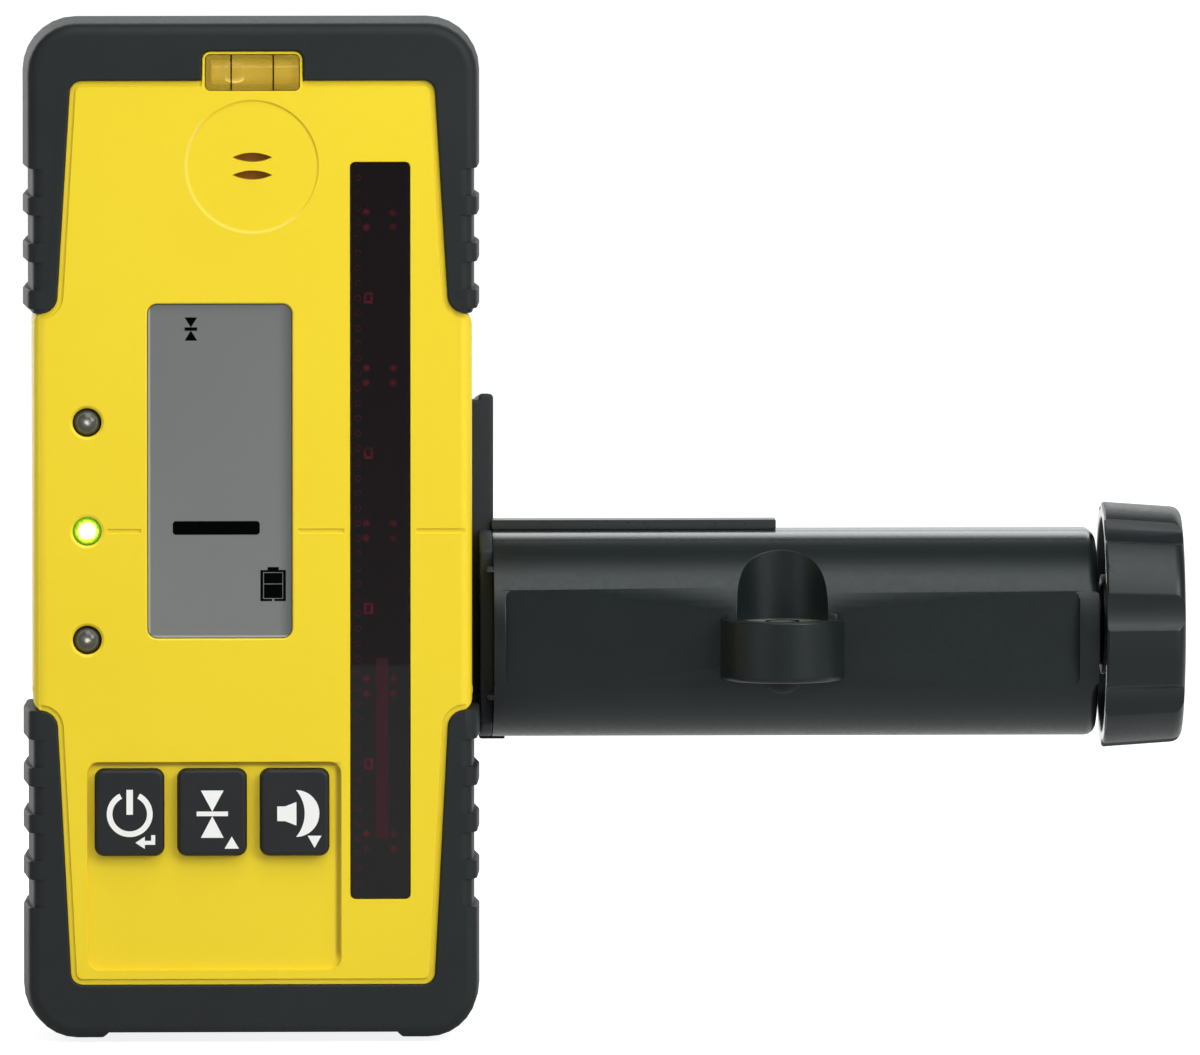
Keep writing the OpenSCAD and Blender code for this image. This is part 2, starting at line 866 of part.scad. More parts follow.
// Receiver: keys and boards
module key(i) {
    x = key_x + i * key_pitch;
    slab(key_w, key_h, key_r, key_front_y, key_flange_y + fit, x, key_z);
    slab(key_w + 2 * key_flange, key_h + 2 * key_flange, key_r, key_flange_y,
         key_flange_y + key_flange_t, x, key_z);
    rod_y(key_stem_r, key_flange_y, key_stem_y, x, key_z);
}

module key_power() {
    color("#262a2b") on_receiver() key(-1);
}

module key_band() {
    color("#262a2b") on_receiver() key(0);
}

module key_volume() {
    color("#262a2b") on_receiver() key(1);
}

module key_switches() {
    color("silver") on_receiver() for (i = [-1:1]) {
        x = key_x + i * key_pitch;
        slab(switch_w, switch_w, fit, switch_top_y + switch_button_h, board_y, x, key_z);
        rod_y(switch_button_r, switch_top_y, board_y, x, key_z);
    }
}

module main_board() {
    color("green") on_receiver() difference() {
        slab(board_w, pad_h - 2 * board_end, board_r, board_y, board_y + board_t, 0, pad_z);
        for (p = screw_places)
            rod_y(boss_r + fit, board_y - cut, board_y + board_t + cut, p.x, p.y);
    }
}

module board_chips() {
    y0 = board_y + board_t;
    color("#101010") on_receiver() for (i = [0:len(chip_sizes) - 1])
        translate([chip_places_share[i].x * board_w, 0, chip_places_share[i].y * pad_h])
            slab(chip_sizes[i].x, chip_sizes[i].y, fit, y0, y0 + chip_t);
}

// Receiver: bar level
module bar_level() {
    color("#e8e0a0") on_receiver() difference() {
        slab(level_len, level_h, level_r, level_y, level_y + level_d, 0, level_z);
        rod_x(level_bore_r, -level_len / 2 + level_end_t, level_len / 2 + cut,
              level_y + level_d / 2, level_z);
        level_lines();
    }
}

module level_lines() {
    for (side = [-1, 1]) {
        x = side * level_line_pitch / 2;
        block([x - level_line_w / 2, level_y - fit, level_z - level_h / 2],
              [x + level_line_w / 2, level_y + level_line_t, level_z + level_h / 2]);
    }
}

module bar_level_lines() {
    color("black") on_receiver() level_lines();
}

module bar_level_liquid() {
    y = level_y + level_d / 2;
    color("#d8c020") on_receiver() difference() {
        rod_x(level_bore_r - bore_fit, -level_len / 2 + level_end_t + bore_fit,
              level_len / 2 - level_plug_t - bore_fit, y, level_z);
        translate([level_bubble_x, y, level_z + level_bore_r - level_bubble_r]) sphere(level_bubble_r);
    }
}

module bar_level_plug() {
    color("#c8b030") on_receiver() rod_x(level_bore_r, level_len / 2 - level_plug_t, level_len / 2,
                                         level_y + level_d / 2, level_z);
}

// Receiver: power
module battery_cells() {
    color("dimgray") on_receiver() for (side = [-1, 1])
        translate([0, cell_y, tub_z + side * cell_pitch / 2]) rotate([0, 0, side > 0 ? 0 : 180]) {
            rod_x(cell_d / 2, -cell_len / 2, cell_len / 2 - nub_len, 0, 0);
            rod_x(nub_r, cell_len / 2 - nub_len - weld, cell_len / 2, 0, 0);
        }
}

module battery_contacts() {
    color("gainsboro") on_receiver() for (end = [-1, 1], side = [-1, 1])
        translate([0, cell_y, tub_z + side * cell_pitch / 2]) rotate([0, 0, end > 0 ? 0 : 180]) {
            block([tub_w / 2 - contact_t, -contact_w / 2, -contact_w / 2],
                  [tub_w / 2, contact_w / 2, contact_w / 2]);
            rod_x(contact_bump_r, cell_len / 2 + bore_fit, tub_w / 2 - contact_t / 2, 0, 0);
        }
}

module battery_door() {
    pocket_w = latch_w + 2 * slide_fit;
    color("gold") on_receiver() difference() {
        along_x(-door_w / 2, door_w / 2) {
            translate([hinge_y, hinge_z]) circle(knuckle_r);
            translate([door_y, hinge_z]) square([door_t, door_top - hinge_z]);
        }
        rod_x(pin_r + bore_fit, -door_w, door_w, hinge_y, hinge_z);
        for (side = [-1, 1]) {
            x0 = side < 0 ? -lug_x - lug_w : lug_x;
            block([x0 - lug_gap, door_y - cut, door_bottom - cut],
                  [x0 + lug_w + lug_gap, back_y + cut, hinge_z + knuckle_r + lug_gap]);
        }
        block([-pocket_w / 2, back_y - latch_t - fit, neck_z - latch_h + latch_over - slide_fit],
              [pocket_w / 2, back_y + cut, neck_z + latch_over + latch_travel + slide_fit]);
        block([-neck_w / 2 - slide_fit, door_y - cut, neck_z - slide_fit],
              [neck_w / 2 + slide_fit, back_y + cut, neck_z + neck_h + latch_travel + slide_fit]);
    }
}

module door_pin() {
    color("silver") on_receiver() rod_x(pin_r, -lug_x - lug_w, lug_x + lug_w, hinge_y, hinge_z);
}

// Thumb slide on the door, drawn back as shown; it moves up to lock
module door_latch() {
    tongue_y = door_y - tongue_play;
    color("#2d3233") on_receiver() {
        block([-latch_w / 2, back_y - latch_t, neck_z - latch_h + latch_over],
              [latch_w / 2, back_y + latch_proud, neck_z + latch_over]);
        block([-neck_w / 2, tongue_y - fit, neck_z], [neck_w / 2, back_y - latch_t + fit, neck_z + neck_h]);
        block([-tongue_w / 2, tongue_y - tongue_t, neck_z],
              [tongue_w / 2, tongue_y, door_top + tongue_reach - latch_travel]);
    }
}

module bracket_insert() {
    color("goldenrod") on_receiver() difference() {
        rod_y(insert_r, back_y - insert_len, back_y, insert_x, insert_z);
        rod_y(insert_bore_r, -cut, body_d + cut, insert_x, insert_z);
    }
}

// Bracket: frame with the fixed jaw
module arm_outline(r, back) {
    translate([arm_cy, arm_cz]) intersection() {
        union() {
            circle(r);
            translate([0, -r]) square([back, 2 * r]);
        }
        translate([-r, -r]) square([r + back, 2 * r]);
    }
}

// The fixed jaw from the side: its top falls towards the back
module jaw_outline(y0, y1) {
    fall = jaw_fall / (jaw_reach / 2 - plate_y);
    polygon([
        [y0, arm_bottom], [y1, arm_bottom],
        [y1, jaw_top - fall * (y1 - plate_y)], [y0, jaw_top - fall * (y0 - plate_y)]
    ]);
}

module jaw_frame() {
    left = receiver_x - plate_left;
    stud_x = receiver_x + insert_x;
    color("#2b3031") difference() {
        union() {
            slab(-jaw_t - left, plate_top + plate_bottom, plate_r, plate_y, seat_plane,
                 (left - jaw_t) / 2, (plate_top - plate_bottom) / 2);
            block([-jaw_t - 2 * plate_r, plate_y, -plate_bottom], [-jaw_t + weld, seat_plane, plate_top]);
            along_x(-jaw_t, -jaw_step) {
                arm_outline(arm_r, arm_back);
                jaw_outline(plate_y, seat_plane);
                translate([arm_cy + lip_in, arm_bottom - lip_t]) square([arm_back - 2 * lip_in, lip_t + weld]);
            }
            along_x(-jaw_t, 0) jaw_outline(seat_plane, jaw_reach / 2);
            block([-jaw_t, arm_cy + lip_in, arm_bottom - lip_t],
                  [lip_len, seat_plane - lip_in, arm_bottom - fit]);
            for (s = gusset_zs_share)
                translate([0, 0, s * (plate_top + plate_bottom) - plate_bottom - gusset_t / 2])
                    linear_extrude(gusset_t) polygon([
                        [-jaw_t + weld, seat_plane - weld], [-jaw_t - gusset_len, seat_plane - weld],
                        [-jaw_t - gusset_len, seat_plane], [-jaw_t, seat_plane + gusset_len],
                        [-jaw_t + weld, seat_plane + gusset_len]
                    ]);
            rod_y(seat_boss_r, plate_y - plate_gap, plate_y + weld, stud_x, insert_z);
            for (side = [-1, 1])
                rod_y(peg_r, plate_y - plate_gap - peg_len, plate_y + weld,
                      stud_x + side * peg_pitch / 2, insert_z);
        }
        difference() {
            block([-jaw_t - cut, arm_front - cut, arm_bottom - cut],
                  [-jaw_step + cut, arm_front + flange_in, -arm_drop + cut]);
            for (s = flange_tabs_share)
                block([-jaw_t + tab_in, arm_front - 2 * cut, arm_cz + s * arm_r - tab_h / 2],
                      [-jaw_step + 2 * cut, arm_front + flange_in + cut, arm_cz + s * arm_r + tab_h / 2]);
        }
        rod_y(clip_r + clip_room, plate_y - plate_gap - cut, plate_y, stud_x, insert_z);
        rod_y(stud_r + stud_hole, plate_y - cut, seat_plane + cut, stud_x, insert_z);
        for (side = [-1, 1]) {
            z = arm_cz + side * arm_screw_rise;
            rod_x(arm_screw_r + fit, -jaw_t - cut, -jaw_step + cut, arm_cy, z);
            rod_x(arm_screw_head_r + fit, -jaw_t - cut, -jaw_t + arm_screw_head_h, arm_cy, z);
        }
    }
}

// Bracket: arm, a channel with a rounded front that is open to the rod
module arm_body() {
    color("#2f3536") difference() {
        union() {
            difference() {
                along_x(arm_x, arm_end) arm_outline(arm_r, arm_back);
                along_x(arm_x + arm_end_t, arm_end - arm_end_t)
                    arm_outline(arm_r - arm_wall, arm_back + cut);
            }
            rod_z(cup_d / 2, cup_bottom_z, cup_top_z, cup_x, cup_y);
            intersection() {
                along_x(arm_x, arm_end) arm_outline(arm_r, arm_back);
                rod_z(cup_d / 2, cup_bottom_z, -arm_drop, cup_x, cup_y);
            }
        }
        rod_z(vial_r + vial_fit, cup_bottom_z + cup_floor, cut, cup_x, cup_y);
        rod_z(round_screw_r + fit, cup_bottom_z - cut, cup_top_z, cup_x, cup_y);
        round_head(fit);
        arm_facet(arm_x + facet_margin, cup_x - cup_d / 2 + facet_cup_lap, facet_left_deep);
        arm_facet(arm_end - facet_end, cup_x + cup_d / 2 - facet_cup_lap, facet_deep);
        rod_x(journal_r + bush_wall, arm_x - cut, arm_x + arm_end_t + cut, arm_cy, screw_z);
        rod_x(screw_r + bush_wall, arm_end - arm_end_t - cut, arm_end + cut, arm_cy, screw_z);
        for (side = [-1, 1])
            rod_x(arm_screw_r, arm_x - cut, -jaw_t + arm_screw_len, arm_cy,
                  arm_cz + side * arm_screw_rise);
    }
}

// Thumb flat in the arm's front: deep at its outer end, where its corners are round, shallow beside the cup
module arm_facet(outer, inner, deep) {
    half = sqrt(arm_r * arm_r - (arm_r - deep) * (arm_r - deep));
    reach = abs(inner - outer) + 2 * facet_round;
    middle = outer + sign(inner - outer) * reach / 2;
    difference() {
        intersection() {
            translate([0, 0, arm_cz - arm_r]) linear_extrude(2 * arm_r) polygon([
                [outer, arm_front - cut], [outer, arm_front + deep],
                [inner, arm_front + facet_shallow], [inner, arm_front - cut]
            ]);
            slab(reach, 2 * half, facet_round, arm_front - 2 * cut, arm_front + deep + cut, middle, arm_cz);
        }
        rod_z(cup_d / 2, cup_bottom_z, cup_top_z, cup_x, cup_y);
    }
}

module arm_screws() {
    color("silver") for (side = [-1, 1]) difference() {
        z = arm_cz + side * arm_screw_rise;
        union() {
            rod_x(arm_screw_r, -jaw_t + fit, -jaw_t + arm_screw_len, arm_cy, z);
            rod_x(arm_screw_head_r, -jaw_t + fit, -jaw_t + arm_screw_head_h, arm_cy, z);
        }
        translate([-jaw_t - cut, arm_cy, z]) rotate([0, 90, 0])
            cylinder(r = case_screw_drive_r, h = cut + case_screw_drive_h, $fn = 6);
    }
}

module reading_edge() {
    color("#22272a")
        block([-jaw_step, seat_plane - edge_d, -arm_drop], [edge_len, seat_plane, 0]);
}

// Bracket: clamp screw and knob
module lead_screw() {
    shoulder = arm_x + arm_end_t + bush_rim_t + journal_gap;
    color("silver") {
        rod_x(journal_r, arm_x + journal_gap, shoulder + weld, arm_cy, screw_z);
        rod_x(screw_r, shoulder, screw_end, arm_cy, screw_z);
    }
}

module end_bush() {
    color("peru") difference() {
        union() {
            rod_x(journal_r + bush_wall, arm_x, arm_x + arm_end_t + bush_rim_t, arm_cy, screw_z);
            rod_x(journal_r + bush_wall + bush_rim, arm_x + arm_end_t,
                  arm_x + arm_end_t + bush_rim_t, arm_cy, screw_z);
        }
        rod_x(journal_r + bore_fit, arm_x - cut, arm_x + arm_end_t + bush_rim_t + cut, arm_cy, screw_z);
    }
}

module knob_bush() {
    color("peru") difference() {
        union() {
            rod_x(screw_r + bush_wall, arm_end - arm_end_t, arm_end + bush_rim_t, arm_cy, screw_z);
            rod_x(screw_r + bush_wall + bush_rim, arm_end, arm_end + bush_rim_t, arm_cy, screw_z);
        }
        rod_x(screw_r + bore_fit, arm_end - arm_end_t - cut, arm_end + bush_rim_t + cut, arm_cy, screw_z);
    }
}

module thrust_collar() {
    x1 = arm_end - arm_end_t - fit;
    color("gainsboro") difference() {
        rod_x(screw_r + collar_wall, x1 - collar_t, x1, arm_cy, screw_z);
        rod_x(screw_r, x1 - collar_t - cut, x1 + cut, arm_cy, screw_z);
    }
}

// Half section of the knob: radius, then length from its inner rim
module knob_section() {
    r0 = knob_d / 2;
    r1 = r0 - knob_taper;
    hub = bush_rim_t + fit - knob_gap;
    polygon(concat(
        [[screw_r, hub], [knob_hub_r, hub], [knob_hub_r, knob_dish], [r0 - knob_wall, knob_dish],
         [r0 - knob_wall, 0], [r0 - knob_rim_round, 0], [r0, knob_rim_round]],
        [for (a = [0:knob_arc_step:90])
            [r1 - knob_round * (1 - cos(a)), knob_len - knob_round * (1 - sin(a))]],
        [[r1 - knob_wall, knob_len], [r1 - knob_wall, knob_web], [knob_hub_r, knob_web],
         [knob_hub_r, knob_len - knob_web / 2], [screw_r, knob_len - knob_web / 2]]
    ));
}

// Flute with a flat floor and sloping sides; 0 is the knob's inner rim
module flute_outline() {
    slope = (flute_w - flute_floor_w) / 2 / flute_depth;
    half = flute_w / 2 + slope * cut;
    polygon([
        [-flute_depth, -flute_floor_w / 2], [cut, -half], [cut, half], [-flute_depth, flute_floor_w / 2]
    ]);
}

module clamp_knob() {
    color("#343a3c") translate([arm_end + knob_gap, arm_cy, screw_z]) rotate([0, 90, 0]) difference() {
        rotate_extrude() knob_section();
        for (i = [0:knob_flutes - 1])
            rotate([0, 0, flute_phase + i * 360 / knob_flutes])
                translate([knob_d / 2, 0, 0]) rotate([0, -atan(knob_taper / knob_len), 0])
                    translate([0, 0, -cut]) linear_extrude(knob_len + 2 * cut) flute_outline();
    }
}

module knob_cap() {
    r = knob_d / 2 - knob_taper - knob_wall - fit;
    x1 = arm_end + knob_gap + knob_len - cap_sink;
    color("#2b3031") rod_x(r, x1 - cap_t, x1, arm_cy, screw_z);
}

// Bracket: moving jaw
module moving_jaw() {
    r = arm_r - arm_wall - slide_fit;
    x0 = jaw_gap + pad_t;
    x1 = x0 + jaw_body_t;
    color("#2b3031") difference() {
        union() {
            intersection() {
                along_x(x0, x0 + carriage_len) arm_outline(r, arm_back);
                block([x0, carriage_y, arm_cz - r], [x0 + carriage_len, seat_plane, arm_cz + r]);
            }
            block([x0, arm_cy, arm_cz - r], [x1, jaw_reach / 2, arm_cz + r]);
            translate([0, 0, arm_cz - web_t / 2]) linear_extrude(web_t) polygon([
                [x1 - weld, seat_plane - weld], [x1 + web_len, seat_plane - weld], [x1 + web_len, seat_plane],
                [x1, seat_plane + web_len], [x1 - weld, seat_plane + web_len]
            ]);
        }
        rod_x(screw_r + slide_fit, x0 - cut, x0 + carriage_len + cut, arm_cy, screw_z);
        nut_block(fit);
        for (side = [-1, 1]) {
            z = arm_cz + side * pad_screw_rise;
            rod_x(pad_screw_r + fit, x0 - cut, x1 + cut, pad_screw_y, z);
            rod_x(pad_screw_head_r + fit, x1 - pad_screw_head_h, x1 + cut, pad_screw_y, z);
        }
    }
}

module nut_block(play) {
    x0 = jaw_gap + pad_t + nut_set;
    half_d = screw_r + nut_wall + play;
    block([x0 - play, arm_cy - half_d, screw_z - nut_h / 2 - play],
          [x0 + nut_len + play, arm_cy + half_d, screw_z + nut_h / 2 + play]);
}

module jaw_nut() {
    color("goldenrod") difference() {
        nut_block(0);
        rod_x(screw_r + bore_fit, jaw_gap, jaw_gap + carriage_len, arm_cy, screw_z);
    }
}

module jaw_pad() {
    half_h = arm_r - arm_wall - slide_fit - pad_edge;
    color("#1c1f20") difference() {
        block([jaw_gap, seat_plane + pad_edge, arm_cz - half_h],
              [jaw_gap + pad_t, jaw_reach / 2 - pad_edge, arm_cz + half_h]);
        for (side = [-1, 1])
            rod_x(pad_screw_r, jaw_gap + pad_t - pad_screw_bite, jaw_gap + pad_t + cut, pad_screw_y,
                  arm_cz + side * pad_screw_rise);
    }
}

module pad_screws() {
    x1 = jaw_gap + pad_t + jaw_body_t;
    color("silver") for (side = [-1, 1]) {
        z = arm_cz + side * pad_screw_rise;
        rod_x(pad_screw_r, jaw_gap + pad_t - pad_screw_bite, x1 - fit, pad_screw_y, z);
        rod_x(pad_screw_head_r, x1 - pad_screw_head_h, x1 - fit, pad_screw_y, z);
    }
}

// Bracket: round level in its cup
module vial_room(play) {
    roof = vial_top_z - vial_roof - play;
    intersection() {
        rod_z(vial_r - vial_wall - play, vial_base_z + vial_floor + play, roof + cut, cup_x, cup_y);
        translate([cup_x, cup_y, roof - vial_dome_r]) sphere(vial_dome_r);
    }
}

module round_vial() {
    color("#d8e8d0") difference() {
        rod_z(vial_r, vial_base_z, vial_top_z, cup_x, cup_y);
        vial_room(0);
        rod_z(round_screw_r, vial_base_z - cut, vial_base_z + round_screw_bite, cup_x, cup_y);
    }
}

module round_liquid() {
    color("#c8d860") difference() {
        vial_room(bore_fit);
        translate([cup_x, cup_y, vial_top_z - vial_roof - vial_bubble_r / 2]) sphere(vial_bubble_r);
    }
}

module round_ring() {
    color("black") difference() {
        rod_z(ring_r, vial_top_z, vial_top_z + ring_t, cup_x, cup_y);
        rod_z(ring_r - ring_w, vial_top_z - cut, vial_top_z + cut, cup_x, cup_y);
    }
}

module round_head(grow) {
    dome_r = (round_head_r * round_head_r + round_head_h * round_head_h) / (2 * round_head_h);
    intersection() {
        rod_z(round_head_r + grow, cup_bottom_z - round_head_h - grow, cup_bottom_z, cup_x, cup_y);
        translate([cup_x, cup_y, cup_bottom_z - round_head_h + dome_r]) sphere(dome_r + grow);
    }
}

module round_screw() {
    color("#1c1f20") {
        rod_z(round_screw_r, cup_bottom_z - fit, vial_base_z + round_screw_bite, cup_x, cup_y);
        round_head(0);
    }
}

// Bracket: screw that holds the receiver on the frame
module bracket_screw() {
    x = receiver_x + insert_x;
    y0 = receiver_y + back_y - insert_len + insert_boss / 2;
    color("#343a3c") difference() {
        union() {
            rod_y(stud_r, y0, seat_plane + thumb_h / 2, x, insert_z);
            rod_y(thumb_r, seat_plane + fit, seat_plane + thumb_h, x, insert_z);
        }
        for (i = [0:thumb_lobes - 1])
            translate([x, 0, insert_z]) rotate([0, i * 360 / thumb_lobes, 0])
                rod_y(thumb_lobe_r, seat_plane - cut, seat_plane + thumb_h + cut, thumb_r + thumb_lobe_r / 2, 0);
    }
}

module screw_clip() {
    x = receiver_x + insert_x;
    color("silver") difference() {
        rod_y(clip_r, plate_y - clip_t - bore_fit, plate_y - bore_fit, x, insert_z);
        rod_y(stud_r, plate_y - plate_gap - cut, plate_y + cut, x, insert_z);
    }
}

front_case();
rear_case();
case_gasket();
top_bumper();
bottom_bumper();
case_screws();
sensor_window();
sensor_board();
photodiodes();
display_lens();
lcd_panel();
lcd_backlight();
lamp_high();
lamp_grade();
lamp_low();
sounder();
sound_membrane();
key_power();
key_band();
key_volume();
key_switches();
main_board();
board_chips();
bar_level();
bar_level_liquid();
bar_level_plug();
bar_level_lines();
battery_cells();
battery_contacts();
battery_door();
door_pin();
door_latch();
bracket_insert();
jaw_frame();
arm_body();
arm_screws();
reading_edge();
lead_screw();
end_bush();
knob_bush();
thrust_collar();
clamp_knob();
knob_cap();
moving_jaw();
jaw_nut();
jaw_pad();
pad_screws();
round_vial();
round_liquid();
round_ring();
round_screw();
bracket_screw();
screw_clip();
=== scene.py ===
import json
import math

import bmesh
import bpy
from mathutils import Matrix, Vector

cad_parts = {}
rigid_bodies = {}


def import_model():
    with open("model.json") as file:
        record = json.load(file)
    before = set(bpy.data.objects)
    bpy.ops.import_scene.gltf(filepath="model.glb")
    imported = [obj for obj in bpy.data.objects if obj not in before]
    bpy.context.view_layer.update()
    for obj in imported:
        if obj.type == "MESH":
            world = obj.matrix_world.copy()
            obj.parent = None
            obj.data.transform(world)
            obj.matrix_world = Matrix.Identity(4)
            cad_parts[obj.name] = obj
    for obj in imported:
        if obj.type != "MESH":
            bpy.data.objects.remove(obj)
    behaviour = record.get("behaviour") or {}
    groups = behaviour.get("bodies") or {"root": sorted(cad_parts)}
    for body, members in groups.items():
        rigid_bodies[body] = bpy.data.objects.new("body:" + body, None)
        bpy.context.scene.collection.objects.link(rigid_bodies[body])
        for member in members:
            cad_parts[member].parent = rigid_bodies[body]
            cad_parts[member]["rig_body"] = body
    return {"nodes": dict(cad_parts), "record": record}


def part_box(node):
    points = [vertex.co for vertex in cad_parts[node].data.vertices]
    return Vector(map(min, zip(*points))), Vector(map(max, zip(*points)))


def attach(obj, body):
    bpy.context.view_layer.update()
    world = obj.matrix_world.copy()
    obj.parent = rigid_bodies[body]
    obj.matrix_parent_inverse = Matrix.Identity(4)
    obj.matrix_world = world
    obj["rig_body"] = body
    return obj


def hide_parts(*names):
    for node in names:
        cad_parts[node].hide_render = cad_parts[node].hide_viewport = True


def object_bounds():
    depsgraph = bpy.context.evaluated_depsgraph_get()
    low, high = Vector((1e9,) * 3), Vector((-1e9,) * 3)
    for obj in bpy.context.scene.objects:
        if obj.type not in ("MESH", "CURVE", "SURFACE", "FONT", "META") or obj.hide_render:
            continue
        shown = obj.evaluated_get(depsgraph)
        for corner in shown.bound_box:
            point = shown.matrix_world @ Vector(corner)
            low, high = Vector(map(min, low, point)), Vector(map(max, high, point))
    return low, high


# A laser receiver on its rod clamp, dressed around the CAD solids.
# Lengths are in millimetres, and times MM where Blender takes them. The studio's are in metres.
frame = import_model()
CAD_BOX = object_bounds()
NODES = frame["nodes"]
SLOT_OF = {s["node"]: s["material_slot"] for s in frame["record"]["subparts"]}
MM = 0.001

# Boxes of the solids
CASE_LOW, CASE_HIGH = (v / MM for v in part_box("front_case"))
CASE_X = (CASE_LOW.x + CASE_HIGH.x) / 2
FACE_Y = CASE_LOW.y
KEY_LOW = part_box("key_power")[0] / MM
LENS_LOW, LENS_HIGH = (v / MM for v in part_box("display_lens"))
WINDOW_LOW, WINDOW_HIGH = (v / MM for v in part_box("sensor_window"))
ARM_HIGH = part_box("arm_body")[1] / MM
LEVEL_LOW, LEVEL_HIGH = (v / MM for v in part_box("bar_level"))
VIAL_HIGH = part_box("round_vial")[1] / MM
SCREW_LOW, SCREW_HIGH = (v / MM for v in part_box("lead_screw"))
PAD_LOW, PAD_HIGH = (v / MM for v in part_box("jaw_pad"))
LATCH_LOW, LATCH_HIGH = (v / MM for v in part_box("door_latch"))
KNOB_LOW, KNOB_HIGH = (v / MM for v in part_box("clamp_knob"))
LAMP_LOW, LAMP_HIGH = (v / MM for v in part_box("lamp_high"))
THUMB_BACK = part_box("bracket_screw")[1].y / MM

# Places on the solids; the keypad recess is given by its left, right, foot and top
KEYPAD = (CASE_X - 28.0, CASE_X + 14.9, -74.3, -39.1)
DISC_Z, DISC_R = 61.7, 11.2
LAMP_R = 2.4
CASE_BACK = -18.6
CASE_SCREW_SEAT = -22.0
DOOR_HINGE_TOP = -72.0
CUP_X, CUP_Y, CUP_R = 48.4, -37.7, 10.45
CUP_FOOT, CUP_TOP = -26.0, -15.6
ARM_Y, SCREW_Z, BUSH_R = -20.5, -17.9, 8.0
ARM_BACK, ARM_FRONT, CUP_BACK, FLATS_BACK = -16.0, -19.0, -34.0, -33.0
FIXED_JAW_TOP, MOVING_JAW_BACK = 15.0, -14.6

# Limits of the clean-up and of the roundings
MERGE_GAP = 1e-6
FLAT_ANGLE = math.radians(0.6)
ROOM = 2.2
SHARP_ANGLE = math.radians(33)
SMOOTH_ANGLE = math.radians(40)
FLATS_ANGLE = math.radians(9)
FLUTE_ANGLE = math.radians(24)


# Materials

def paint(code):
    """A colour written as #rrggbb, in the linear values that shaders use."""
    parts = [int(code[i:i + 2], 16) / 255 for i in (1, 3, 5)]
    return [p / 12.92 if p <= 0.04045 else ((p + 0.055) / 1.055) ** 2.4 for p in parts] + [1]


def feed(tree, socket, value):
    """Gives an input a value, or links it from another socket."""
    if isinstance(value, bpy.types.NodeSocket):
        tree.links.new(value, socket)
    else:
        socket.default_value = value


def add(tree, kind, **inputs):
    node = tree.nodes.new(kind)
    for name, value in inputs.items():
        feed(tree, node.inputs[name], value)
    return node


def calc(tree, operation, *values):
    node = tree.nodes.new("ShaderNodeMath")
    node.operation = operation
    for socket, value in zip(node.inputs, values):
        feed(tree, socket, value)
    return node.outputs[0]


def blend_colours(tree, share, first, second):
    """Mixes two colours; the sockets are those that a Mix node has for colours."""
    node = tree.nodes.new("ShaderNodeMix")
    node.data_type = "RGBA"
    for i, value in ((0, share), (6, first), (7, second)):
        feed(tree, node.inputs[i], value)
    return node.outputs[2]


def clamp(tree, value, low=0.0, high=1.0):
    return calc(tree, "MINIMUM", calc(tree, "MAXIMUM", value, low), high)


def make_grain_group():
    """Fine moulding grain and a soft unevenness of tone, both on Object coordinates."""
    tree = bpy.data.node_groups.new("moulded_grain", "ShaderNodeTree")
    for name in ("Grain", "Cloud"):
        tree.interface.new_socket(name, in_out="INPUT", socket_type="NodeSocketFloat")
    for name in ("Height", "Tone", "Gloss"):
        tree.interface.new_socket(name, in_out="OUTPUT", socket_type="NodeSocketFloat")
    start = tree.nodes.new("NodeGroupInput")
    end = tree.nodes.new("NodeGroupOutput")
    place = tree.nodes.new("ShaderNodeTexCoord").outputs["Object"]
    grain, cloud = start.outputs["Grain"], start.outputs["Cloud"]
    coarse = calc(tree, "MULTIPLY", grain, 0.37)
    fine = add(tree, "ShaderNodeTexNoise", Vector=place, Scale=grain, Detail=3.0, Roughness=0.6)
    broad = add(tree, "ShaderNodeTexNoise", Vector=place, Scale=cloud, Detail=2.0, Roughness=0.45)
    speck = add(tree, "ShaderNodeTexNoise", Vector=place, Scale=coarse, Detail=1.0, Roughness=0.5)
    tree.links.new(fine.outputs[0], end.inputs["Height"])
    tree.links.new(broad.outputs[0], end.inputs["Tone"])
    tree.links.new(speck.outputs[0], end.inputs["Gloss"])
    return tree


GRAIN = make_grain_group()
FINISH = {}


def new_material(name):
    """Adds a material to the finishes."""
    material = bpy.data.materials.new(name)
    material.use_nodes = True
    FINISH[name] = material
    tree = material.node_tree
    return tree, tree.nodes["Principled BSDF"]


def grain_node(tree, grain, cloud):
    """The grain group, with the sizes of its grain and of its unevenness."""
    node = tree.nodes.new("ShaderNodeGroup")
    node.node_tree = GRAIN
    node.inputs["Grain"].default_value = 1 / (grain * MM)
    node.inputs["Cloud"].default_value = 1 / (cloud * MM)
    return node


def drift(tree, skin, amount):
    """The unevenness of a grain node about nought."""
    return calc(tree, "MULTIPLY", calc(tree, "SUBTRACT", skin.outputs["Tone"], 0.5), amount)


def object_axes(tree):
    place = tree.nodes.new("ShaderNodeTexCoord").outputs["Object"]
    split = add(tree, "ShaderNodeSeparateXYZ", Vector=place)
    return split.outputs["X"], split.outputs["Y"], split.outputs["Z"]


def within(tree, value, low, high, soft=0.08):
    """1 between two places along an axis, with soft ends."""
    middle, half = (low + high) / 2 * MM, (high - low) / 2 * MM
    away = calc(tree, "ABSOLUTE", calc(tree, "SUBTRACT", value, middle))
    return clamp(tree, calc(tree, "DIVIDE", calc(tree, "SUBTRACT", half, away), soft * MM))


def distance(tree, first, second):
    squares = [calc(tree, "MULTIPLY", value, value) for value in (first, second)]
    return calc(tree, "SQRT", calc(tree, "ADD", *squares))


def arm_top(tree):
    """Where the arm is worn smooth: along its top."""
    return within(tree, object_axes(tree)[2], ARM_HIGH.z - 1.5, ARM_HIGH.z + 1, 0.25)


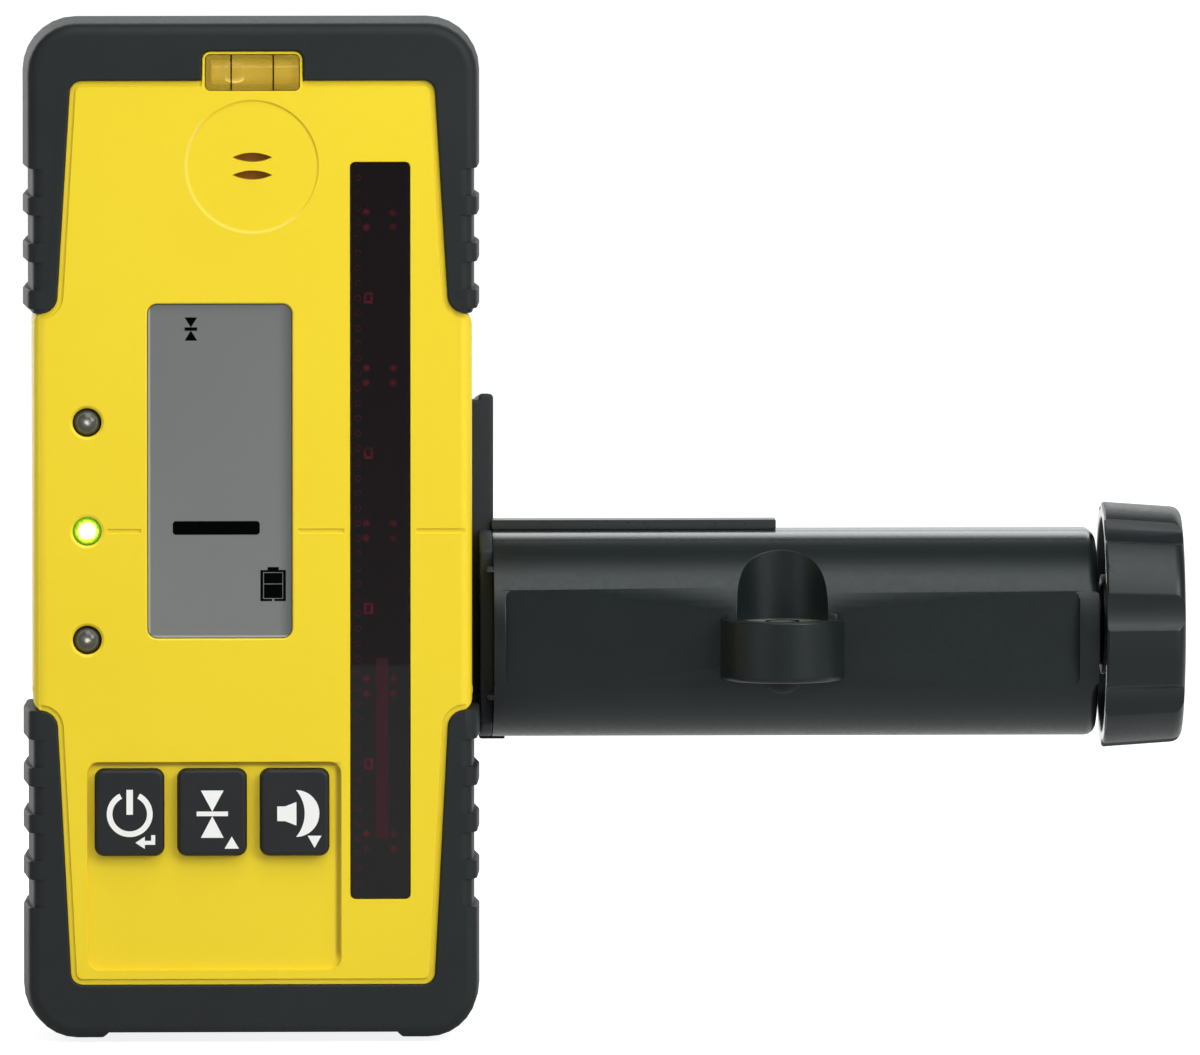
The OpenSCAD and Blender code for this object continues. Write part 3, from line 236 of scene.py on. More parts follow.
def knob_rim(tree):
    """The flat rim of the knob on the arm's side."""
    rim_inside, beyond = 12, 40
    x, y, z = object_axes(tree)
    middle = (KNOB_LOW + KNOB_HIGH) / 2
    out = distance(tree, calc(tree, "SUBTRACT", y, middle.y * MM), calc(tree, "SUBTRACT", z, middle.z * MM))
    flat = within(tree, x, KNOB_LOW.x - 1, KNOB_LOW.x + 0.2, 0.25)
    return calc(tree, "MULTIPLY", flat, within(tree, out, rim_inside, beyond, 0.3))


def paint_face_light_and_shade(tree, colour):
    """Painted shade, browner, under the top and right walls of the keypad recess, and a painted highlight,
    paler, at the foot of the rim of the sounder's disc.
    """
    x, _, z = object_axes(tree)
    x0, x1, z0, z1 = KEYPAD
    top = calc(tree, "MULTIPLY", within(tree, z, z1 - 0.9, z1 + 0.15, 0.4),
               within(tree, x, x0 + 0.4, x1 + 0.2, 1.0))
    right = calc(tree, "MULTIPLY", within(tree, x, x1 - 1.15, x1 + 0.15, 0.5),
                 within(tree, z, z0 + 1.5, z1, 1.5))
    # painted shade: browner along the top and right walls of the keypad recess
    walls = calc(tree, "MULTIPLY", calc(tree, "MAXIMUM", top, right), 0.55)
    colour = blend_colours(tree, walls, colour, paint("#86660f"))
    across, up = calc(tree, "SUBTRACT", x, CASE_X * MM), calc(tree, "SUBTRACT", z, DISC_Z * MM)
    # painted highlight: a paler crescent at the foot of the sounder disc's rim
    rim = within(tree, distance(tree, across, up), DISC_R - 0.35, DISC_R + 0.35, 0.3)
    side = calc(tree, "MULTIPLY", calc(tree, "ADD", across, up), -0.7 / (DISC_R * MM))
    side = clamp(tree, calc(tree, "ADD", side, 0.1), high=0.28)
    return blend_colours(tree, calc(tree, "MULTIPLY", rim, side), colour, paint("#fff6a8"))


def finish(name, dark, light, rough, spread=0.06, grain=0.35, cloud=14.0, bump=0.012, metal=0.0, coat=0.0,
           specular=0.5, alpha=1.0, polish=None, shade=None, tint=None):
    """An opaque or tinted finish: tone drifts between two colours, grain bumps it and breaks its gloss.
    Polish is (mask, share): the share of its roughness lost where the mask is 1. Shade changes its colour
    from place to place, and tint colours its reflections."""
    tree, shader = new_material(name)
    skin = grain_node(tree, grain, cloud)
    shader.inputs["Metallic"].default_value = metal
    shader.inputs["Coat Weight"].default_value = coat
    shader.inputs["Coat Roughness"].default_value = 0.06
    shader.inputs["Specular IOR Level"].default_value = specular
    shader.inputs["Alpha"].default_value = alpha
    if tint:
        shader.inputs["Specular Tint"].default_value = paint(tint)
    colour = blend_colours(tree, skin.outputs["Tone"], paint(dark), paint(light))
    tree.links.new(shade(tree, colour) if shade else colour, shader.inputs["Base Color"])
    rough_now = calc(tree, "MULTIPLY_ADD", skin.outputs["Gloss"], 2 * spread, rough - spread)
    if polish:
        mask, share = polish
        worn = calc(tree, "MULTIPLY", mask(tree), -share)
        rough_now = calc(tree, "MULTIPLY_ADD", rough_now, worn, rough_now)
    tree.links.new(rough_now, shader.inputs["Roughness"])
    relief = add(tree, "ShaderNodeBump", Height=skin.outputs["Height"], Strength=0.6, Distance=bump * MM)
    tree.links.new(relief.outputs[0], shader.inputs["Normal"])


# Each finish: dark and light tone, roughness and its spread, size of grain and of unevenness, bump
BLACK_SHEEN = "#f4fcfd"
finish("yellow_plastic", "#edd01c", "#f2d824", 0.42, 0.05, 0.3, 40, 0.006)
# the face's yellow, with painted shade in the keypad recess and a painted highlight on the sounder disc's rim
finish("face_plastic_painted_light", "#edd01c", "#f2d824", 0.42, 0.05, 0.3, 40, 0.006, shade=paint_face_light_and_shade)
finish("bumper_rubber", "#1c2021", "#232829", 0.6, 0.08, 0.28, 18, 0.03, specular=0.3)
finish("gasket_rubber", "#1c1d1d", "#262727", 0.7)
finish("zinc_steel", "#a8a9aa", "#c4c5c6", 0.32, 0.1, 0.2, 3, 0.004, metal=1.0)
finish("board_green", "#12452b", "#1d5a38", 0.4, 0.08, 1.6, 6, 0.02)
finish("diode_black", "#181213", "#22191b", 0.15, coat=0.5)
finish("light_guide", "#d8dad6", "#e8eae6", 0.5)
finish("sounder_black", "#151616", "#1e1f1f", 0.5)
finish("membrane_felt", "#8a5e28", "#a87638", 0.9, 0.05, 0.5, 2, 0.08)
finish("key_rubber", "#1c2022", "#222628", 0.55, 0.06, 0.2, 9, 0.012, specular=0.35)
finish("switch_steel", "#9c9d9d", "#b8b9b9", 0.35, metal=1.0)
finish("chip_black", "#141414", "#1e1e1e", 0.5)
finish("level_plug", "#a8821c", "#c29a2c", 0.25, coat=0.6)
finish("mark_black", "#010202", "#040505", 0.8, bump=0.002, specular=0.02)
finish("mark_white", "#ecece9", "#f6f6f4", 0.5, bump=0.004)
finish("cell_wrap", "#33363a", "#3f4348", 0.3, coat=0.3)
finish("contact_steel", "#bdbab2", "#d3d0c8", 0.28, metal=1.0)
finish("latch_plastic", "#1c2021", "#232829", 0.5, 0.06, 0.3, 8, 0.02)
finish("brass", "#b08d45", "#c8a558", 0.3, 0.08, 0.25, 4, 0.004, metal=1.0)
finish("bracket_plastic", "#101415", "#171b1d", 0.36, 0.08, 0.32, 16, 0.03, specular=0.4)
finish("arm_plastic", "#121819", "#191f21", 0.38, 0.08, 0.32, 16, 0.03, specular=0.4,
       polish=(arm_top, 0.6), tint=BLACK_SHEEN)
finish("jaw_plastic", "#2c3136", "#33383f", 0.58, 0.06, 0.3, 14, 0.03, specular=0.2, tint=BLACK_SHEEN)
finish("edge_plastic", "#2c3133", "#36393b", 0.3, 0.06, 0.3, 12, 0.015)
finish("screw_steel", "#8f9193", "#a7a9ab", 0.28, 0.08, 0.2, 5, 0.006, metal=1.0)
finish("bush_bronze", "#2a221c", "#382c22", 0.5, 0.1, 0.2, 3, 0.01, metal=0.5)
finish("knob_plastic", "#15191b", "#1c2123", 0.4, 0.08, 0.3, 14, 0.022, specular=0.42,
       polish=(knob_rim, 0.9), tint=BLACK_SHEEN)
finish("pad_rubber", "#17191a", "#1f2122", 0.72, 0.06, 0.25, 8, 0.03, specular=0.3)
finish("screw_black", "#1c1f20", "#262a2b", 0.35, 0.08, 0.2, 5, 0.008, metal=0.6)
finish("level_liquid", "#d4ac28", "#efdb52", 0.12, 0.03, 6, 9, 0.0, coat=1.0)
finish("vial_liquid", "#8aa02a", "#a9bd3c", 0.1, 0.03, 6, 9, 0.0, coat=1.0)
finish("level_acrylic", "#d9b130", "#edcf4e", 0.08, 0.03, 5, 8, 0.0, coat=0.6, alpha=0.42)
finish("vial_acrylic", "#dfe6d4", "#eef2e6", 0.06, 0.03, 5, 8, 0.0, coat=1.0, alpha=0.35)


def ramp_colours(tree, share, points):
    """A colour that follows points of (place, colour), places running from 0 to 1."""
    ramp = tree.nodes.new("ShaderNodeValToRGB")
    tree.links.new(share, ramp.inputs[0])
    stops = ramp.color_ramp.elements
    stops.remove(stops[1])
    stops[0].position = points[0][0]
    stops[0].color = paint(points[0][1])
    for position, code in points[1:]:
        stops.new(position).color = paint(code)
    return ramp.outputs[0]


def make_window_filter():
    """Dark red filter: near black, with a board's pads and marks showing through it faintly, and painted
    highlights on the photodiodes behind it.
    """
    pad_pitch, pad_x, pad_inner, pad_outer = 2.54, -3.75, 0.28, 0.62
    diode_pitch, highlight_columns, highlight_r, half_apart = 26.3, (-2.35, 2.2), 0.75, 1.25
    box_x, box_half, box_line = -2.0, (0.8, 1.0), 0.42
    bar_x, bar_half, bar_foot, bar_top = 0.32, 1.1, -52.6, -21.2
    below, lower_top = -90.0, -22.4
    tree, shader = new_material("dark_red_filter")
    x, _, z = object_axes(tree)
    middle = (WINDOW_LOW.x + WINDOW_HIGH.x) / 2

    def along(pitch, shift=0.0):
        """Distance in Z from the nearest of a row of places, which lie half a pitch from the shift."""
        cell = calc(tree, "FRACT", calc(tree, "DIVIDE", calc(tree, "SUBTRACT", z, shift * MM), pitch * MM))
        return calc(tree, "MULTIPLY", calc(tree, "SUBTRACT", cell, 0.5), pitch * MM)

    def column(place):
        return calc(tree, "SUBTRACT", x, (middle + place) * MM)

    def hollow_mark(across, up, half_width, half_height, line):
        outer = calc(tree, "MULTIPLY", within(tree, across, -half_width, half_width),
                     within(tree, up, -half_height, half_height))
        inner = calc(tree, "MULTIPLY", within(tree, across, line - half_width, half_width - line),
                     within(tree, up, line - half_height, half_height - line))
        return calc(tree, "SUBTRACT", outer, inner)

    pads = within(tree, distance(tree, column(pad_x), along(pad_pitch)), pad_inner, pad_outer, 0.22)
    apart = calc(tree, "ABSOLUTE", along(diode_pitch, diode_pitch / 2))
    apart = calc(tree, "SUBTRACT", apart, half_apart * MM)
    # painted highlights: two small glints on each photodiode behind the filter, in two columns, fainter in
    # the second
    painted_diode_highlights = [within(tree, distance(tree, column(foot), apart), -highlight_r, highlight_r, 0.6) for foot in highlight_columns]
    boxes = hollow_mark(column(box_x), along(diode_pitch), *box_half, box_line)
    place = tree.nodes.new("ShaderNodeTexCoord").outputs["Object"]
    uneven = add(tree, "ShaderNodeTexNoise", Vector=place, Scale=900.0, Detail=2.0, Roughness=0.6).outputs[0]
    uneven = clamp(tree, calc(tree, "MULTIPLY_ADD", uneven, 3.4, -1.0), low=0.15)
    marks = calc(tree, "MULTIPLY", pads, 0.42)
    for layer, share in ((painted_diode_highlights[0], 0.85), (painted_diode_highlights[1], 0.55), (boxes, 0.8)):
        marks = calc(tree, "MAXIMUM", marks, calc(tree, "MULTIPLY", layer, share))
    marks = calc(tree, "MULTIPLY", marks, uneven)
    lower = within(tree, z, below, lower_top, 0.8)
    ground = blend_colours(tree, lower, paint("#130d0f"), paint("#1e1d1e"))
    bar = calc(tree, "MULTIPLY", within(tree, column(bar_x), -bar_half, bar_half, 0.2),
               within(tree, z, bar_foot, bar_top, 0.8))
    ground = blend_colours(tree, calc(tree, "MULTIPLY", bar, 0.75), ground, paint("#38161f"))
    tree.links.new(blend_colours(tree, marks, ground, paint("#5c0f1f")), shader.inputs["Base Color"])
    shader.inputs["Roughness"].default_value = 0.18
    shader.inputs["Specular IOR Level"].default_value = 0.3


def make_display_glass_painted_light():
    """Grey reflective display with painted shade, darker along its top and right, and a painted highlight, a
    light line at its left and foot.
    """
    tree, shader = new_material("lcd_glass")
    x, _, z = object_axes(tree)
    height = LENS_HIGH.z - LENS_LOW.z
    fall = calc(tree, "DIVIDE", calc(tree, "SUBTRACT", LENS_HIGH.z * MM, z), height * MM)
    skin = grain_node(tree, 0.5, 26)
    tone = clamp(tree, calc(tree, "ADD", fall, drift(tree, skin, 0.5)))
    colour = blend_colours(tree, tone, paint("#6f7271"), paint("#777a78"))
    # painted shade along the top and right edges of the display
    top = within(tree, z, LENS_HIGH.z - 1.6, LENS_HIGH.z + 4, 2.2)
    side = within(tree, x, LENS_HIGH.x - 2.2, LENS_HIGH.x + 4, 1.9)
    shade = calc(tree, "MULTIPLY", calc(tree, "MAXIMUM", calc(tree, "MULTIPLY", top, 0.6), side), 0.8)
    colour = blend_colours(tree, shade, colour, paint("#55585a"))
    # painted highlight: a light line along the display's left edge and foot
    left = within(tree, x, LENS_LOW.x - 1, LENS_LOW.x + 0.5, 0.2)
    foot = within(tree, z, LENS_LOW.z - 1, LENS_LOW.z + 0.5, 0.2)
    edge = calc(tree, "MULTIPLY", calc(tree, "MAXIMUM", left, foot), 0.5)
    tree.links.new(blend_colours(tree, edge, colour, paint("#c3c5bd")), shader.inputs["Base Color"])
    shader.inputs["Roughness"].default_value = 0.32
    shader.inputs["Specular IOR Level"].default_value = 0.3


def make_lit_lamp():
    """Lit lamp: white hot in the middle, yellow-green towards its rim."""
    tree, shader = new_material("lamp_lit")
    x, _, z = object_axes(tree)
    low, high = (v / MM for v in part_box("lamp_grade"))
    across = calc(tree, "SUBTRACT", x, (low.x + high.x) / 2 * MM)
    skin = grain_node(tree, 0.5, 0.55)
    out = calc(tree, "ADD", distance(tree, across, z), drift(tree, skin, 0.9 * MM))
    colour = ramp_colours(tree, calc(tree, "DIVIDE", out, LAMP_R * MM), (
        (0.0, "#ffffff"), (0.5, "#fbffe6"), (0.66, "#dcf03c"), (0.82, "#7fb422"), (1.0, "#3f7a30")))
    tree.links.new(colour, shader.inputs["Emission Color"])
    tree.links.new(colour, shader.inputs["Base Color"])
    shader.inputs["Emission Strength"].default_value = 0.9
    shader.inputs["Roughness"].default_value = 0.2
    shader.inputs["Coat Weight"].default_value = 0.6


def make_clear_lamp_painted_highlight():
    """Unlit lamp: grey lens with a dark rim, a faint ring, and the chip in its middle painted bright as a
    highlight.
    """
    tree, shader = new_material("lamp_clear")
    x, _, z = object_axes(tree)
    across = calc(tree, "SUBTRACT", x, (LAMP_LOW.x + LAMP_HIGH.x) / 2 * MM)
    up = calc(tree, "SUBTRACT", calc(tree, "ABSOLUTE", z), (LAMP_LOW.z + LAMP_HIGH.z) / 2 * MM)
    skin = grain_node(tree, 0.3, 0.5)
    out = calc(tree, "ADD", distance(tree, across, up), drift(tree, skin, 0.5 * MM))
    # the near-white middle of this ramp is a painted highlight on the lamp's chip
    colour = ramp_colours(tree, calc(tree, "DIVIDE", out, LAMP_R * MM), (
        (0.0, "#f2f0e6"), (0.1, "#d6d4ca"), (0.2, "#77766c"), (0.34, "#4b4b44"), (0.62, "#454744"),
        (0.7, "#666966"), (0.78, "#484a4a"), (1.0, "#34373a")))
    tree.links.new(colour, shader.inputs["Base Color"])
    shader.inputs["Roughness"].default_value = 0.3
    shader.inputs["Coat Weight"].default_value = 0.25


def make_bubble_with_painted_rim_light(name, centre, radii, axes):
    """A bubble in liquid: clear in its middle, with a painted highlight, pale, at its rim, and a painted
    glowing glint along the rim, most at the low end of its second axis.
    """
    tree, shader = new_material(name)
    places = object_axes(tree)
    first, second = (calc(tree, "DIVIDE", calc(tree, "SUBTRACT", places[a], centre[a] * MM), radii[a] * MM)
                     for a in axes)
    # painted highlight: the bubble's rim, pale in colour
    rim = calc(tree, "POWER", calc(tree, "MINIMUM", distance(tree, first, second), 1.0), 3.0)
    side = clamp(tree, calc(tree, "MULTIPLY_ADD", second, -0.6, 0.55), low=0.25)
    # painted glint, strongest at the low end of the rim, made opaque there
    painted_glint = calc(tree, "MULTIPLY", rim, side)
    tree.links.new(calc(tree, "MULTIPLY_ADD", painted_glint, 0.95, 0.1), shader.inputs["Alpha"])
    tree.links.new(blend_colours(tree, rim, paint("#d9c65a"), paint("#fff7c4")), shader.inputs["Base Color"])
    # the painted glint glows by emission, though the bubble is no lamp
    painted_glow = blend_colours(tree, painted_glint, paint("#000000"), paint("#ffe98a"))
    tree.links.new(painted_glow, shader.inputs["Emission Color"])
    shader.inputs["Emission Strength"].default_value = 0.8
    shader.inputs["Roughness"].default_value = 0.15


make_window_filter()
make_display_glass_painted_light()
make_lit_lamp()
make_clear_lamp_painted_highlight()


# Making pieces

def only(obj):
    """Selects one object and makes it the active one."""
    bpy.ops.object.select_all(action="DESELECT")
    bpy.context.view_layer.objects.active = obj
    obj.select_set(True)


def take(node, piece):
    """A clean copy of a CAD solid: its loose triangles merged and its flat faces joined."""
    obj = bpy.data.objects.new(piece, NODES[node].data.copy())
    bpy.context.scene.collection.objects.link(obj)
    obj.data.materials.clear()
    only(obj)
    bpy.ops.mesh.customdata_custom_splitnormals_clear()
    bpy.ops.object.mode_set(mode="EDIT")
    bpy.ops.mesh.select_all(action="SELECT")
    bpy.ops.mesh.remove_doubles(threshold=MERGE_GAP)
    bpy.ops.mesh.dissolve_limited(angle_limit=FLAT_ANGLE)
    bpy.ops.mesh.select_all(action="DESELECT")
    bpy.ops.object.mode_set(mode="OBJECT")
    return obj


def room(edge, face):
    """How far a face reaches inwards from the middle of one of its edges."""
    first = next(corner for corner in face.loops if corner.edge == edge)
    start, end = first.vert.co, first.link_loop_next.vert.co
    along = (end - start).normalized()
    inward = face.normal.cross(along)
    middle = (start + end) / 2
    reach = math.inf
    for corner in face.loops:
        near_end = corner.vert.co - middle
        far_end = corner.link_loop_next.vert.co - middle
        near_side, far_side = near_end.dot(along), far_end.dot(along)
        if corner.edge == edge or (near_side > 0) == (far_side > 0):
            continue
        share = near_side / (near_side - far_side)
        depth = near_end.lerp(far_end, share).dot(inward)
        if depth > MERGE_GAP:
            reach = min(reach, depth)
    return reach


def soften(obj, width, segments=2, pick=None, least=SHARP_ANGLE, hollows=False, clear=ROOM):
    """Rounds the edges sharper than least whose middle, in mm, is one that pick accepts.

    An edge is left sharp where its faces reach less than clear times the width. So is a hollow edge,
    unless hollows are asked for.
    """
    only(obj)
    bpy.ops.object.mode_set(mode="EDIT")
    bpy.ops.mesh.select_mode(type="EDGE")
    bpy.ops.mesh.select_all(action="DESELECT")
    mesh = bmesh.from_edit_mesh(obj.data)
    found = 0
    for edge in mesh.edges:
        if len(edge.link_faces) != 2 or edge.calc_face_angle() < least:
            continue
        middle = (edge.verts[0].co + edge.verts[1].co) / (2 * MM)
        if pick and not pick(middle) or not hollows and not edge.is_convex:
            continue
        if min(room(edge, face) for face in edge.link_faces) > clear * width * MM:
            edge.select_set(True)
            found += 1
    bmesh.update_edit_mesh(obj.data)
    if found:
        bpy.ops.mesh.bevel(offset=width * MM, segments=segments, affect="EDGES", clamp_overlap=False,
                            loop_slide=False)
    bpy.ops.mesh.select_all(action="DESELECT")
    bpy.ops.object.mode_set(mode="OBJECT")


def settle(obj, finish_name, body, slot, weighted=True):
    """Last touches of a piece: smooth shading, its material and body. Its slot is not used."""
    only(obj)
    bpy.ops.object.shade_smooth_by_angle(angle=SMOOTH_ANGLE)
    if weighted:
        even = obj.modifiers.new("even_normals", "WEIGHTED_NORMAL")
        even.keep_sharp = True
        bpy.ops.object.modifier_apply(modifier=even.name)
    obj.data.materials.clear()
    obj.data.materials.append(FINISH[finish_name])
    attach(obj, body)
    return obj


def dress(node, piece, *roundings, finish_name=None, **last):
    """Replaces a CAD node by its softened copy. A rounding holds what soften takes after the object."""
    obj = take(node, piece)
    for rounding in roundings:
        soften(obj, *rounding)
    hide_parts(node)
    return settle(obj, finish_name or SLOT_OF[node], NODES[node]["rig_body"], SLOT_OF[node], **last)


def near(value, place, gap=0.06):
    """Whether a place is the one sought. The picks below take the middle of an edge."""
    return abs(value - place) < gap


# Receiver: case and bumpers

def on_face(m):
    return near(m.y, FACE_Y)


def level_frame(m):
    """The thin frame round the bar level, which rises above the plain face."""
    return on_face(m) and abs(m.x - CASE_X) < LEVEL_HIGH.x - CASE_X + 1.2 and m.z > LEVEL_LOW.z - 0.3


def keypad_wall(m):
    """The wall of the shallow keypad recess, at its top and at its floor."""
    x0, x1, z0, z1 = KEYPAD
    inside = x0 - 0.3 < m.x < x1 + 0.3 and z0 - 0.3 < m.z < z1 + 0.3
    beside = min(m.x - x0, x1 - m.x, m.z - z0, z1 - m.z) < 0.75
    return inside and beside and FACE_Y - 0.06 < m.y < FACE_Y + 1.0


def display_opening(m):
    across = LENS_LOW.x - 0.5 < m.x < LENS_HIGH.x + 0.5
    return on_face(m) and across and LENS_LOW.z - 0.5 < m.z < LENS_HIGH.z + 0.5


dress("front_case", "front_case_shell",
      (0.2, 2, level_frame), (0.42, 4, keypad_wall, SHARP_ANGLE, True), (0.35, 3, display_opening),
      (0.12, 2, on_face), finish_name="face_plastic_painted_light")
dress("rear_case", "rear_case_shell", (0.3, 3, lambda m: m.y > CASE_BACK - 0.1))
for end in ("top_bumper", "bottom_bumper"):
    dress(end, end + "_rubber", (0.35, 3, None))
dress("case_screws", "case_screw_heads", (0.15, 2, lambda m: m.y > CASE_SCREW_SEAT))

# Receiver: window, display, lamps, keys
dress("sensor_window", "beam_window", (0.2, 2, None))
dress("display_lens", "display_glass", (0.15, 2, None))
for lamp in ("lamp_high", "lamp_grade", "lamp_low"):
    dress(lamp, lamp + "_dome", weighted=False)
for key in ("key_power", "key_band", "key_volume"):
    dress(key, key + "_cap", (0.7, 4, lambda m: m.y < KEY_LOW.y + 0.3))
dress("battery_door", "battery_lid",
      (0.25, 2, lambda m: m.y > CASE_BACK - 0.4 and m.z > DOOR_HINGE_TOP))
dress("door_latch", "latch_slide_cap", (0.25, 2, None))
dress("bar_level", "bar_level_block", (0.2, 2, None))


# Bracket

def arm_end(m):
    return m.x > ARM_HIGH.x - 0.3 and math.hypot(m.y - ARM_Y, m.z - SCREW_Z) > BUSH_R


def cup_bottom(m):
    return near(m.z, CUP_FOOT, 0.2) and math.hypot(m.x - CUP_X, m.y - CUP_Y) > CUP_R - 0.3


def cup_rim(m):
    return near(m.z, CUP_TOP, 0.2) and abs(m.x - CUP_X) < CUP_R + 1 and m.y < CUP_BACK


def arch_edge(m):
    """The rim of the hollow above the cup."""
    return m.y < ARM_FRONT - 2 and abs(m.x - CUP_X) < CUP_R - 0.4 and m.z > CUP_TOP + 0.1


def arm_front(m):
    return m.y < ARM_FRONT and 0.2 < m.x < ARM_HIGH.x - 3 and not arch_edge(m)


def thumb_flats(m):
    """The shallow edges of the two flats, clear of the cup."""
    return m.y < FLATS_BACK and 1 < m.x < ARM_HIGH.x - 2.5 and abs(m.x - CUP_X) > CUP_R + 0.3


dress("arm_body", "arm_shell", (1.9, 5, arm_end), (0.9, 4, cup_bottom), (0.4, 3, cup_rim),
      (0.25, 2, arm_front), (0.12, 2, arch_edge, SHARP_ANGLE, False, 0.0),
      (0.3, 2, lambda m: m.y > ARM_BACK), (0.3, 2, thumb_flats, FLATS_ANGLE), finish_name="arm_plastic")
dress("jaw_frame", "jaw_frame_shell", (0.6, 4, lambda m: m.z > FIXED_JAW_TOP), (0.4, 3, None),
      finish_name="jaw_plastic")
dress("reading_edge", "reading_ledge", (0.2, 2, None))
dress("moving_jaw", "moving_jaw_shell", (0.5, 3, lambda m: m.y > MOVING_JAW_BACK))
dress("clamp_knob", "clamp_knob_grip", (0.25, 3, None, FLUTE_ANGLE))
dress("knob_cap", "knob_cap_disc", (0.4, 3, None))
dress("bracket_screw", "bracket_thumbscrew", (0.5, 3, lambda m: m.y > THUMB_BACK - 0.2))
dress("round_vial", "round_vial_glass", (0.3, 3, lambda m: m.z > VIAL_HIGH.z - 0.1))
dress("round_screw", "round_level_screw", finish_name="pad_rubber", weighted=False)
dress("end_bush", "end_bush_ring", (0.2, 2, None))
dress("knob_bush", "knob_bush_ring", (0.2, 2, None))
dress("thrust_collar", "thrust_collar_ring", (0.3, 2, None))
dress("jaw_nut", "jaw_nut_block", (0.25, 2, None))

# Every other solid keeps its shape and gets its finish
for name, obj in NODES.items():
    if not obj.hide_render:
        obj.data.materials.clear()
        obj.data.materials.append(FINISH[SLOT_OF[name]])


# Printed signs, drawn flat about the middle of their face and then given the thickness of ink.
# FLAT turns a flat primitive to the front.
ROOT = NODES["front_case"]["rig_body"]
INK = 0.03
FLAT = (math.radians(90), 0, 0)


def placed(name=None):
    """Puts the new primitive's place into its mesh."""
    obj = bpy.context.active_object
    bpy.ops.object.transform_apply(location=True, rotation=True, scale=True)
    if name:
        obj.name = name
    return obj


def join(pieces, name):
    bpy.ops.object.select_all(action="DESELECT")
    for obj in pieces:
        obj.select_set(True)
    bpy.context.view_layer.objects.active = pieces[0]
    bpy.ops.object.join()
    pieces[0].name = pieces[0].data.name = name
    return pieces[0]


def bar_sign(x0, z0, x1, z1):
    """A flat bar in X and Z."""
    bpy.ops.object.select_all(action="DESELECT")
    middle = ((x0 + x1) / 2 * MM, 0, (z0 + z1) / 2 * MM)
    bpy.ops.mesh.primitive_plane_add(size=MM, location=middle, rotation=FLAT)
    bpy.context.active_object.scale = (x1 - x0, z1 - z0, 1)
    return placed()


def arrow_sign(tip, base, half, sideways=False):
    """A flat triangle: where its tip is, where its base is along its axis, and half its base."""
    bpy.ops.object.select_all(action="DESELECT")
    along = base - tip[0] if sideways else tip[1] - base
    centre = (tip[0] + along * 2 / 3, tip[1]) if sideways else (tip[0], base + along / 3)
    bpy.ops.mesh.primitive_circle_add(vertices=3, radius=MM, fill_type="NGON", rotation=FLAT,
                                      location=(centre[0] * MM, 0, centre[1] * MM))
    obj = bpy.context.active_object
    obj.scale = (half / math.sin(math.radians(60)), along / 1.5, 1)
    if sideways:
        obj.rotation_euler = (math.radians(90), math.radians(-90), 0)
    return placed()


def ring_sign(x, z, outer, inner, gap):
    """A flat ring with a gap at its top, half the gap given in degrees."""
    bpy.ops.object.select_all(action="DESELECT")
    bpy.ops.mesh.primitive_circle_add(vertices=96, radius=outer * MM, fill_type="NOTHING", rotation=FLAT,
                                      location=(x * MM, 0, z * MM))
    obj = placed()
    bpy.ops.object.mode_set(mode="EDIT")
    bpy.ops.mesh.select_all(action="SELECT")
    bpy.ops.mesh.extrude_region_move()
    bpy.ops.transform.resize(value=[inner / outer] * 3, center_override=(x * MM, 0, z * MM))
    bpy.ops.mesh.select_mode(type="FACE")
    bpy.ops.mesh.select_all(action="DESELECT")
    mesh = bmesh.from_edit_mesh(obj.data)
    for face in mesh.faces:
        middle = face.calc_center_median() / MM
        face.select_set(abs(math.degrees(math.atan2(middle.x - x, middle.z - z))) < gap)
    bmesh.update_edit_mesh(obj.data)
    bpy.ops.mesh.delete(type="FACE")
    bpy.ops.object.mode_set(mode="OBJECT")
    return obj


def disc_sign(x, z, r, vertices=128):
    bpy.ops.object.select_all(action="DESELECT")
    bpy.ops.mesh.primitive_circle_add(vertices=vertices, radius=r * MM, fill_type="NGON", rotation=FLAT,
                                      location=(x * MM, 0, z * MM))
    return placed()


def raise_film(obj, thick=INK):
    """Gives flat shapes the thickness of printed ink, towards the front."""
    only(obj)
    bpy.ops.object.mode_set(mode="EDIT")
    bpy.ops.mesh.select_all(action="SELECT")
    bpy.ops.mesh.extrude_region_move(TRANSFORM_OT_translate={"value": (0, -thick * MM, 0)})
    bpy.ops.mesh.select_all(action="SELECT")
    bpy.ops.mesh.normals_make_consistent(inside=False)
    bpy.ops.object.mode_set(mode="OBJECT")


def crescent_sign(x, z, r, hollow_x, hollow_r):
    """A disc less a larger disc on its left."""
    moon, hollow = disc_sign(x, z, r), disc_sign(hollow_x, z, hollow_r)
    raise_film(moon)
    raise_film(hollow, 3 * INK)
    hollow.location.y = INK * MM
    cut = moon.modifiers.new("hollow", "BOOLEAN")
    cut.operation = "DIFFERENCE"
    cut.solver = "EXACT"
    cut.object = hollow
    only(moon)
    bpy.ops.object.modifier_apply(modifier=cut.name)
    bpy.data.objects.remove(hollow)
    return moon


def speaker_sign(left, neck, right, half, mouth, z):
    """A flat speaker: a square back, then a cone that widens to its mouth."""
    obj = bar_sign(left, z - half, neck, z + half)
    bpy.ops.object.mode_set(mode="EDIT")
    bpy.ops.mesh.select_mode(type="EDGE")
    bpy.ops.mesh.select_all(action="DESELECT")
    mesh = bmesh.from_edit_mesh(obj.data)
    for edge in mesh.edges:
        edge.select_set(all(near(v.co.x / MM, neck) for v in edge.verts))
    bmesh.update_edit_mesh(obj.data)
    bpy.ops.mesh.extrude_region_move(TRANSFORM_OT_translate={"value": ((right - neck) * MM, 0, 0)})
    bpy.ops.transform.resize(value=(1, 1, mouth / half), center_override=(right * MM, 0, z * MM))
    bpy.ops.object.mode_set(mode="OBJECT")
    return obj


